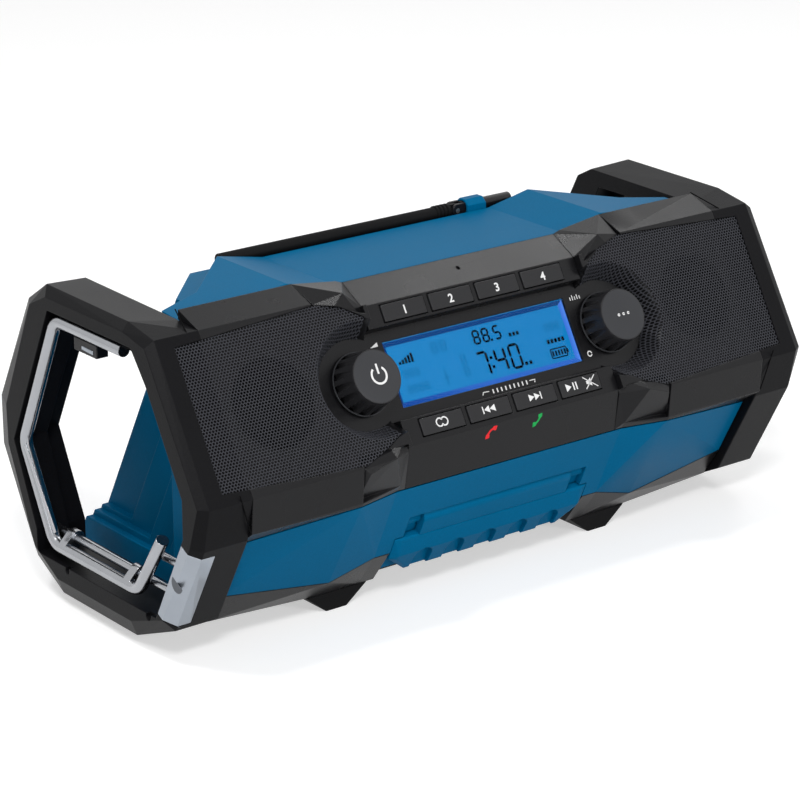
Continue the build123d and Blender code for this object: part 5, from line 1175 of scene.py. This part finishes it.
@dataclass
class KeyPrints:
    """Signs printed on the eight keys, and the handset signs below the lower ones.

    Attributes:
        top_w: Height of the upper keys' faces above the front.
        low_w: Height of the lower keys' faces.
        digit: Height of the printed numbers.
        em: Size of type for each unit of a number's height.
        swell: How much the ink thickens a number's strokes.
        ink: Depth of a number's ink, either way.
        top_v: Place of the numbers up the front.
        low_v: Place of the lower signs up the front.
        top_u: Places of the numbers along X.
        sign_w: Back and face of the signs' ink, above the keys' faces.
        rings_u: Middles of the link sign's two rings.
        ring_radius: Radius of a ring's middle line.
        ring_line: Width of a ring's stroke.
        skip: Length and half height of the arrows in the two skip signs.
        skip_line: Width of the posts in those signs.
        back_u: The post and the arrows of the sign that skips back.
        ahead_u: The arrows and the post of the sign that skips ahead.
        play: Length and half height of the play arrow.
        pause: Half height and width of the pause posts.
        play_u: The play arrow and the two pause posts.
        mute_u: Left edge of the horn in the mute sign.
        lip_ink: Thickness of the handset signs' ink on the lip.
        receiver: Widths along a handset: a wide ear and mouth, with a thin grip between.
        handsets: The handset signs.
    """

    top_w: float = -3.5
    low_w: float = -2.8
    digit: float = 4.3
    em: float = 1.3
    swell: float = 0.12
    ink: float = 0.03
    top_v: float = 64.9
    low_v: float = 11.5
    top_u: tuple[float, ...] = (-40.6, -14.0, 13.2, 40.9)
    sign_w: Flat = (-0.02, 0.04)
    rings_u: Flat = (-42.5, -39.9)
    ring_radius: float = 1.9
    ring_line: float = 0.65
    skip: Flat = (3.1, 1.7)
    skip_line: float = 0.6
    back_u: Spot = (-17.4, -13.7, -10.4)
    ahead_u: Spot = (9.8, 13.1, 16.8)
    play: Flat = (3.3, 1.9)
    pause: Flat = (1.8, 0.75)
    play_u: Spot = (32.2, 36.8, 38.5)
    mute_u: float = 44.6
    lip_ink: float = 0.06
    receiver: tuple[float, ...] = (2.2, 2.3, 2.2, 1.1, 1.0, 1.0, 1.0, 1.1, 2.2, 2.3, 2.2)
    handsets: tuple[Handset, ...] = (
        Handset("red", RED_INK, (-12.7, 14.6), 3.9, 72, 188),
        Handset("green", GREEN_INK, (10.1, 18.9), 4.3, -88, 8),
    )

    def numbers(self) -> None:
        """Print plain numbers on the upper keys."""
        for place, u in enumerate(self.top_u, start=1):
            curve = bpy.data.curves.new(f"key_number_{place}", "FONT")
            curve.body = str(place)
            curve.align_x = "CENTER"
            curve.align_y = "CENTER"
            curve.size = self.digit * self.em * MM
            curve.offset = self.swell * MM
            curve.extrude = self.ink * MM
            curve.materials.append(WHITE_INK.build())
            number = bpy.data.objects.new(curve.name, curve)
            number.matrix_world = FRONT.stand(u, self.top_v, self.top_w + self.sign_w[1])
            link(number)
            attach(number, f"top_key_{place}")
            LOG.info("printed %s", number.name)

    def arrow(self, u: float, reach: float, half: float) -> Outline:
        """Return a triangle that points along X.

        Args:
            u: Its flat side along X, in mm.
            reach: Its length, negative to point left, in mm.
            half: Half its height, in mm.

        Returns:
            Its corners.
        """
        return [(u, self.low_v - half), (u + reach, self.low_v), (u, self.low_v + half)]

    def post(self, u: float, half: float, width: float) -> Outline:
        """Return an upright bar.

        Args:
            u: Its middle along X, in mm.
            half: Half its height, in mm.
            width: Its width, in mm.

        Returns:
            Its corners.
        """
        return bar((u, self.low_v - half), (u, self.low_v + half), width)

    def loudspeaker(self, u: float) -> list[Outline]:
        """Return the mute sign: a horn under a cross.

        Args:
            u: Left edge of the horn, in mm.

        Returns:
            The horn and the two strokes that cross it.
        """
        v = self.low_v
        neck, mouth = u + 1.2, u + 3.0
        horn = [
            (u, v - 0.8), (neck, v - 0.8), (mouth, v - 2.0),
            (mouth, v + 2.0), (neck, v + 0.8), (u, v + 0.8),
        ]
        falling = bar((u - 1.4, v + 2.9), (u + 6.2, v - 2.9), 0.45)
        rising = bar((u - 1.0, v - 2.9), (u + 5.8, v + 2.9), 0.45)
        return [horn, falling, rising]

    def signs(self) -> None:
        """Print the link, transport and mute signs on the lower keys."""
        turns = [self.ring_line] * 15
        left, right = ((u, self.low_v) for u in self.rings_u)
        rings = [
            bow(left, self.ring_radius, 30, 330, turns), bow(right, self.ring_radius, -150, 150, turns),
        ]
        reach, half = self.skip
        post, *arrows = self.back_u
        back = [self.post(post, half, self.skip_line), *(self.arrow(u, -reach, half) for u in arrows)]
        *arrows, post = self.ahead_u
        ahead = [*(self.arrow(u, reach, half) for u in arrows), self.post(post, half, self.skip_line)]
        start, *posts = self.play_u
        play = [self.arrow(start, *self.play), *(self.post(u, *self.pause) for u in posts)]
        signs = (rings, back, ahead, play + self.loudspeaker(self.mute_u))
        low, high = (self.low_w + w for w in self.sign_w)
        for place, outlines in enumerate(signs, start=1):
            add_plates(f"key_sign_{place}", outlines, FRONT, low, high, WHITE_INK, f"low_key_{place}")

    def lip_signs(self) -> None:
        """Print the red and green handset signs below the lower keys."""
        for sign in self.handsets:
            curve = bow(sign.centre, sign.radius, sign.start_deg, sign.stop_deg, list(self.receiver))
            add_plates(f"handset_{sign.colour}", [curve], LIP, 0.0, self.lip_ink, sign.ink, "radio")

    def build(self) -> None:
        """Print everything on the keys and on the lip below them."""
        self.numbers()
        self.signs()
        self.lip_signs()


@dataclass
class DeckPrints:
    """Plain signs on the deck where the controls are labelled.

    Attributes:
        deck_w: Height of the deck above the front.
        ink: Thickness of the ink.
        brackets: Ends of the strokes of the two brackets below the display.
        bracket_line: Width of those strokes.
        ticks_u: Place along X of the first of the nine ticks between the brackets.
        ticks_step: Distance from one tick to the next.
        ticks_v: Lower and upper end of the ticks.
        ticks_line: Width of a tick.
        ramp: Corners of the volume ramp beside the left knob.
        comb_u: Place along X of the first of the five tuning ticks beside the right knob.
        comb_step: Distance from one tuning tick to the next.
        comb_foot: Lower end of the tuning ticks.
        comb_tops: Upper ends that they take in turn.
        comb_line: Width of a tuning tick.
        ring: Middle of the select ring below the right knob.
        ring_radius: Radius of the ring's middle line.
        ring_line: Width of the ring's stroke.
    """

    deck_w: float = -10.5
    ink: float = 0.06
    brackets: tuple[tuple[Flat, Flat], ...] = (
        ((-9.0, 18.9), (-8.2, 20.3)), ((-8.2, 20.2), (-4.9, 20.0)),
        ((19.2, 20.1), (22.6, 20.1)), ((22.6, 20.2), (21.9, 18.7)),
    )
    bracket_line: float = 0.4
    ticks_u: float = -2.6
    ticks_step: float = 2.5
    ticks_v: Flat = (18.6, 20.6)
    ticks_line: float = 0.7
    ramp: tuple[Flat, ...] = ((-60.6, 52.4), (-56.2, 52.4), (-56.2, 54.4))
    comb_u: float = 57.6
    comb_step: float = 1.45
    comb_foot: float = 51.6
    comb_tops: Flat = (53.2, 54.0)
    comb_line: float = 0.5
    ring: Flat = (58.4, 25.1)
    ring_radius: float = 1.2
    ring_line: float = 0.55

    def build(self) -> None:
        """Print the brackets and their ticks, a volume ramp, tuning ticks and a select ring."""
        outlines = [bar(start, end, self.bracket_line) for start, end in self.brackets]
        low, high = self.ticks_v
        for place in (self.ticks_u + self.ticks_step * i for i in range(9)):
            outlines.append(bar((place, low), (place, high), self.ticks_line))
        outlines.append(list(self.ramp))
        for i in range(5):
            place = self.comb_u + self.comb_step * i
            outlines.append(bar((place, self.comb_foot), (place, self.comb_tops[i % 2]), self.comb_line))
        outlines.append(bow(self.ring, self.ring_radius, 0, 340, [self.ring_line] * 17))
        add_plates("deck_signs", outlines, FRONT, self.deck_w, self.deck_w + self.ink, WHITE_INK, "radio")


@dataclass
class KnobTrim:
    """The satin cap in the end of a knob, its sign, and the flange round the knob's foot.

    Attributes:
        side: The half of the radio.
        place: Place of the knob on the right half.
        top_w: Height of the knob's end above the front.
        radius: Radius of the cap.
        crown: How far the cap's middle stands above its edge.
        profile: Rings of the cap from its middle out: the part of its radius, and the part of its
            crown or, where negative, the depth in mm below its edge.
        crowned: How many bands between the rings belong to the smooth crown.
        facets: Corners of each ring.
        sign_w: Back and face of the sign's ink, from the top of the crown.
        power_at: Middle of the power sign's ring, from the cap's middle.
        power_radius: Radius of that ring's middle line.
        power_bar: Lower and upper end of the sign's bar, from the cap's middle.
        power_line: Width of the sign's strokes.
        dots_step: Distance from one dot to the next.
        dot: Radius of a dot's middle line, and the width of its stroke.
        foot_w: Height of the skirt's foot above the front.
        foot_radius: Radius of the middle of the flange.
        flange_width: Width of the flange.
        flange_height: Height of the flange.
    """

    side: Side
    place: Flat = (72.6, 37.5)
    top_w: float = 4.8
    radius: float = 12.1
    crown: float = 0.5
    profile: tuple[Flat, ...] = (
        (0.30, 0.92), (0.55, 0.76), (0.75, 0.5), (0.9, 0.25), (0.965, 0.12), (1.0, -0.02), (1.0, -0.4),
    )
    crowned: int = 5
    facets: int = 72
    sign_w: Flat = (-0.35, 0.03)
    power_at: Flat = (0.9, 0.3)
    power_radius: float = 3.9
    power_bar: Flat = (0.9, 5.6)
    power_line: float = 1.0
    dots_step: float = 2.9
    dot: float = 0.5
    foot_w: float = -9.0
    foot_radius: float = 14.7
    flange_width: float = 0.5
    flange_height: float = 0.7

    @property
    def centre(self) -> Flat:
        """Return the knob's place on its own half."""
        return self.side.value * self.place[0], self.place[1]

    def disc(self) -> None:
        """Turn the slightly crowned disc."""
        count = self.facets
        points = [FRONT.point(*self.centre, self.top_w + self.crown)]
        for reach, rise in self.profile:
            w = self.top_w + (rise * self.crown if rise > 0 else rise)
            for i in range(count):
                angle, away = math.tau * i / count, self.radius * reach
                u, v = self.centre[0] + away * math.cos(angle), self.centre[1] + away * math.sin(angle)
                points.append(FRONT.point(u, v, w))
        faces: list[Face] = [(0, 1 + i, 1 + (i + 1) % count) for i in range(count)]
        for ring in range(len(self.profile) - 1):
            a, b = 1 + ring * count, 1 + (ring + 1) * count
            faces += [(a + i, b + i, b + (i + 1) % count, a + (i + 1) % count) for i in range(count)]
        last = 1 + (len(self.profile) - 1) * count
        faces.append(tuple(last + i for i in reversed(range(count))))
        cap = add_mesh(f"{self.side.word}_knob_cap", points, faces, CAP_GREY_AND_FLANGE_HIGHLIGHT, f"{self.side.word}_knob")
        for polygon in cap.data.polygons:
            polygon.use_smooth = polygon.index < count * self.crowned

    def sign(self) -> None:
        """Print the power sign on the left cap and three dots on the right one."""
        u, v = self.centre
        if self.side is Side.LEFT:
            middle = (u + self.power_at[0], v + self.power_at[1])
            foot, top = ((middle[0], v + end) for end in self.power_bar)
            ring = bow(middle, self.power_radius, 128, 412, [self.power_line] * 33)
            outlines = [ring, bar(foot, top, self.power_line)]
        else:
            places = [(u + self.dots_step * i, v) for i in (-1, 0, 1)]
            outlines = [bow(place, self.dot, 0, 330, [self.dot] * 12) for place in places]
        low, high = (self.top_w + self.crown + w for w in self.sign_w)
        name = f"{self.side.word}_knob_sign"
        add_plates(name, outlines, FRONT, low, high, WHITE_INK, f"{self.side.word}_knob")

    def flange(self) -> None:
        """Turn the thin flange round the foot of the skirt; its grey is a painted highlight."""
        ring = bow(self.centre, self.foot_radius, 0, 360, [self.flange_width] * (self.facets + 1))
        high = self.foot_w + self.flange_height
        name = f"{self.side.word}_knob_flange"
        # The flange's grey is a painted highlight along the foot of the skirt.
        add_plates(name, [ring], FRONT, self.foot_w, high, CAP_GREY_AND_FLANGE_HIGHLIGHT, f"{self.side.word}_knob")

    def build(self) -> None:
        """Make the cap, its sign and the flange."""
        self.disc()
        self.sign()
        self.flange()


@dataclass(frozen=True)
class SeamLine:
    """One straight shadow line on the right half, in mm.

    Attributes:
        start: Its first end.
        end: Its other end.
        out: Direction out of the surface that it lies on.
    """

    start: Spot
    end: Spot
    out: Spot


@dataclass
class Seams:
    """Shadow lines where the end rings meet the front frame.

    Attributes:
        width: Width of the line.
        depth: How deep its filler lies.
        proud: How far it stands out.
        lines: The lines: on the shoulder above the grille, and on the front beside it.
    """

    width: float = 0.35
    depth: float = 0.4
    proud: float = 0.04
    lines: tuple[SeamLine, ...] = (
        SeamLine((151.6, -29.6, 153.9), (156.4, -45.1, 148.3), (0.0, -0.63, 0.78)),
        SeamLine((157.7, -84.8, 85.5), (151.4, -83.2, 66.4), (0.0, -0.996, 0.087)),
    )

    def strip(self, line: SeamLine, side: Side) -> list[Vector]:
        """Return the eight corners of a line's filler.

        Args:
            line: The line, on the right half.
            side: The half that the filler is for.

        Returns:
            Its corners in metres: at each end the two deep ones, then the two proud ones.
        """
        start, end = Vector(line.start), Vector(line.end)
        along = (end - start).normalized()
        out = Vector(line.out)
        out = (out - along * out.dot(along)).normalized()
        across = along.cross(out) * self.width / 2
        points = []
        for place in (start, end):
            for w in (-self.depth, self.proud):
                for sign in (-1, 1):
                    corner = place + out * w + across * sign
                    points.append(Vector((corner.x * side.value, corner.y, corner.z)) * MM)
        return points

    def build(self) -> None:
        """Lay the lines on both halves."""
        faces = [(0, 1, 3, 2), (4, 6, 7, 5), (0, 4, 5, 1), (2, 3, 7, 6), (0, 2, 6, 4), (1, 5, 7, 3)]
        mirrored = [face[::-1] for face in faces]
        for side in Side:
            for number, line in enumerate(self.lines, start=1):
                turned = mirrored if side is Side.LEFT else faces
                name = f"{side.word}_ring_seam_{number}"
                add_mesh(name, self.strip(line, side), turned, GAP_BLACK, "radio")


@dataclass
class HookDetails:
    """Small metal parts at the hook: the clip's lock, the plate's stamped mark and the wire's flat.

    Attributes:
        clip_x: Outer face of the clip's lock.
        lock: Corners (y, z) of the lock.
        lock_depth: Thickness of the lock.
        plate_x: Outer face of the plate.
        mark: Middle (y, z) of the stamped mark, a half moon.
        mark_radius: Radius of the mark.
        mark_proud: How far the mark's edge stands out of the plate.
        mark_depth: Thickness of the mark.
        wire_x: Outer side of the wire.
        flat_ends: Ends (y, z) of the flat that is pressed on the wire.
        flat_width: Width of the flat.
        flat_depth: Thickness of the flat.
        ease: Rounding of each part's edges, as a part of its thickness.
    """

    clip_x: float = -175.3
    lock: tuple[Flat, ...] = ((1.0, 129.5), (10.1, 129.9), (10.0, 131.7), (0.9, 131.4))
    lock_depth: float = 0.9
    plate_x: float = -178.0
    mark: Flat = (-65.0, 43.6)
    mark_radius: float = 4.2
    mark_proud: float = 0.06
    mark_depth: float = 0.3
    wire_x: float = -177.9
    flat_ends: tuple[Flat, Flat] = ((58.2, 71.6), (35.0, 35.9))
    flat_width: float = 2.6
    flat_depth: float = 0.6
    ease: float = 0.4

    def slab(self, name: str, outline: Outline, x: float, depth: float, finish: Finish, body: str) -> None:
        """Make a thin slab that faces left.

        Args:
            name: Name of the piece.
            outline: Its corners (y, z), in mm.
            x: Place of its face, in mm.
            depth: Its thickness, in mm.
            finish: What it is made of.
            body: The body that carries it.
        """
        ring = anticlockwise(outline)
        points = [Vector((place, y, z)) * MM for place in (x, x + depth) for y, z in ring]
        piece = add_mesh(name, points, plate_faces(0, len(ring)), finish, body)
        soften(piece, depth * self.ease)

    def build(self) -> None:
        """Make the three parts."""
        half_moon = arc(self.mark, 200, 400, [self.mark_radius] * 13)
        flat = bar(*self.flat_ends, self.flat_width)
        self.slab("clip_lock", list(self.lock), self.clip_x, self.lock_depth, ZINC, "radio")
        # The half moon's darker grey is painted shade in the punched dimple.
        self.slab("plate_mark", half_moon, self.plate_x - self.mark_proud, self.mark_depth, STAMPED_SHADE, "radio")
        self.slab("wire_flat", flat, self.wire_x, self.flat_depth, CHROME, "hook")


@dataclass(frozen=True)
class Lamp:
    """One square soft lamp.

    Attributes:
        name: Name of the lamp.
        place: Where it hangs, in metres.
        size: Side of its panel, in metres.
        power: Its power in watts.
    """

    name: str
    place: Spot
    size: float
    power: float

    def hang(self, target: Vector) -> None:
        """Hang the lamp so that it points at a place.

        Args:
            target: The place, in metres.
        """
        data = bpy.data.lights.new(self.name, "AREA")
        data.size = self.size
        data.energy = self.power
        lamp = bpy.data.objects.new(self.name, data)
        lamp.location = self.place
        lamp.rotation_mode = "QUATERNION"
        lamp.rotation_quaternion = (target - Vector(self.place)).to_track_quat("-Z", "Y")
        link(lamp)


@dataclass
class Studio:
    """Camera, lamps, floor and backdrop.

    Attributes:
        eye: Camera's place, in metres.
        gaze: Direction in which it looks.
        level: Camera's right-hand direction before its roll.
        roll_deg: Roll about the gaze.
        lens_mm: Focal length.
        sensor_mm: Width of the sensor.
        far_clip: How far the camera sees, in metres.
        floor_half: Half the side of the floor, in metres.
        fibre_mm: Size of the paper's fibres, drawn coarse enough to show.
        floor_lift: Glow of the floor that only the camera, gloss and glass see.
        ambient: Level of the even light from all round.
        aim: Place that the lamps point at, in metres.
        lamps: The lamps.
    """

    eye: Spot = (-0.84093, -1.07369, 0.55129)
    gaze: Spot = (0.57912, 0.74449, -0.33221)
    level: Spot = (0.78933, -0.61397, 0.0)
    roll_deg: float = -0.13
    lens_mm: float = 136.46
    sensor_mm: float = 36.0
    far_clip: float = 50.0
    floor_half: float = 6.0
    fibre_mm: float = 1.5
    floor_lift: float = 0.5
    ambient: float = 0.28
    aim: Spot = (0.0, 0.0, 0.07)
    lamps: tuple[Lamp, ...] = (
        Lamp("key_lamp", (-0.9, -1.3, 1.7), 0.4, 21.0),
        Lamp("front_lamp", (0.3, -1.9, 0.72), 0.3, 10.0),
        Lamp("top_lamp", (-0.8, 0.1, 1.78), 0.22, 10.0),
        Lamp("low_lamp", (-1.5, -1.6, 0.4), 0.8, 9.0),
        Lamp("far_lamp", (1.1, 0.27, 1.45), 0.5, 4.5),
        Lamp("fill_lamp", (1.4, -0.9, 1.0), 1.4, 2.0),
        Lamp("back_lamp", (0.2, 1.4, 1.5), 1.0, 3.0),
    )

    def camera(self) -> None:
        """Make the camera and give it to the scene."""
        data = bpy.data.cameras.new("camera")
        data.lens = self.lens_mm
        data.sensor_width = self.sensor_mm
        data.clip_end = self.far_clip
        eye = bpy.data.objects.new("camera", data)
        link(eye)
        back = -Vector(self.gaze).normalized()
        right = Vector(self.level).normalized()
        up = back.cross(right).normalized()
        turn = Matrix((right, up, back)).transposed().to_4x4()
        roll = Matrix.Rotation(math.radians(self.roll_deg), 4, "Z")
        eye.matrix_world = Matrix.Translation(self.eye) @ turn @ roll
        bpy.context.scene.camera = eye

    def floor(self) -> None:
        """Lay the pale paper floor, white to the camera with the radio's soft shadow on it."""
        half = self.floor_half
        mesh = bpy.data.meshes.new("floor")
        corners = [(-half, -half, 0.0), (half, -half, 0.0), (half, half, 0.0), (-half, half, 0.0)]
        mesh.from_pydata(corners, [], [(0, 1, 2, 3)])
        ground = bpy.data.objects.new("floor", mesh)
        paper = blank_material("matt_white_paper")
        tree = paper.node_tree
        place = add_node(tree, "TexCoord").outputs["Object"]
        fibre = add_node(tree, "TexNoise", Vector=place, Scale=1 / (self.fibre_mm * MM), Detail=3.0)
        tone = add_node(
            tree, "Mix", {"data_type": "RGBA"}, i0=fibre.outputs["Fac"],
            i6=linear("d2d2d2"), i7=linear("d8d8d8"),
        )
        plain = add_node(tree, "BsdfDiffuse", Color=tone.outputs[2])
        lifted = self.seen_level(tree, 0.0, self.floor_lift)
        lift = add_node(tree, "Emission", Color=(1.0, 1.0, 1.0, 1.0), Strength=lifted)
        both = add_node(tree, "AddShader", i0=plain.outputs[0], i1=lift.outputs[0])
        add_node(tree, "OutputMaterial", Surface=both.outputs[0])
        mesh.materials.append(paper)
        link(ground)

    def seen_level(self, tree: bpy.types.NodeTree, unseen: float, seen: float) -> bpy.types.NodeSocket:
        """Return a level that differs for what the camera, gloss and glass see.

        Args:
            tree: The node tree.
            unseen: The level for all other light.
            seen: The level that the camera, gloss and glass see.

        Returns:
            The socket with the level.
        """
        path = add_node(tree, "LightPath")
        rays = [path.outputs[f"Is {kind} Ray"] for kind in ("Camera", "Glossy", "Transmission")]
        either = add_node(tree, "Math", {"operation": "MAXIMUM"}, i0=rays[0], i1=rays[1])
        any_of = add_node(tree, "Math", {"operation": "MAXIMUM"}, i0=either.outputs[0], i1=rays[2])
        level = add_node(tree, "MapRange", Value=any_of.outputs[0], To_Min=unseen, To_Max=seen)
        return level.outputs["Result"]

    def world(self) -> None:
        """Set an even surrounding that is white to the camera, gloss and glass."""
        sky = bpy.data.worlds.new("sky")
        bpy.context.scene.world = sky
        sky.use_nodes = True
        tree = sky.node_tree
        tree.nodes.clear()
        level = self.seen_level(tree, self.ambient, 1.0)
        glow = add_node(tree, "Background", Color=(1.0, 1.0, 1.0, 1.0), Strength=level)
        add_node(tree, "OutputWorld", Surface=glow.outputs["Background"])

    def build(self) -> None:
        """Make the whole studio."""
        self.camera()
        self.world()
        self.floor()
        for lamp in self.lamps:
            lamp.hang(Vector(self.aim))
        bpy.context.scene.view_settings.view_transform = "Standard"


def dress_nodes() -> None:
    """Give every frame piece its finish and its softened edges."""
    for finish, names in DRESS.items():
        material = finish.build()
        for name in names:
            node = NODES[name]
            for slot in node.material_slots:
                slot.material = material
            soften(node, EASE_MM)
            LOG.info("dressed %s", name)


def main() -> None:
    """Build the scene piece by piece."""
    logging.basicConfig(level=logging.INFO, format="%(message)s")
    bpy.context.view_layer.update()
    Studio().build()
    dress_nodes()
    for side in Side:
        PerforatedGrille(side).build()
        KnobTrim(side).build()
    Display().build()
    KeyPrints().build()
    DeckPrints().build()
    Seams().build()
    HookDetails().build()


if __name__ == "__main__":
    main()
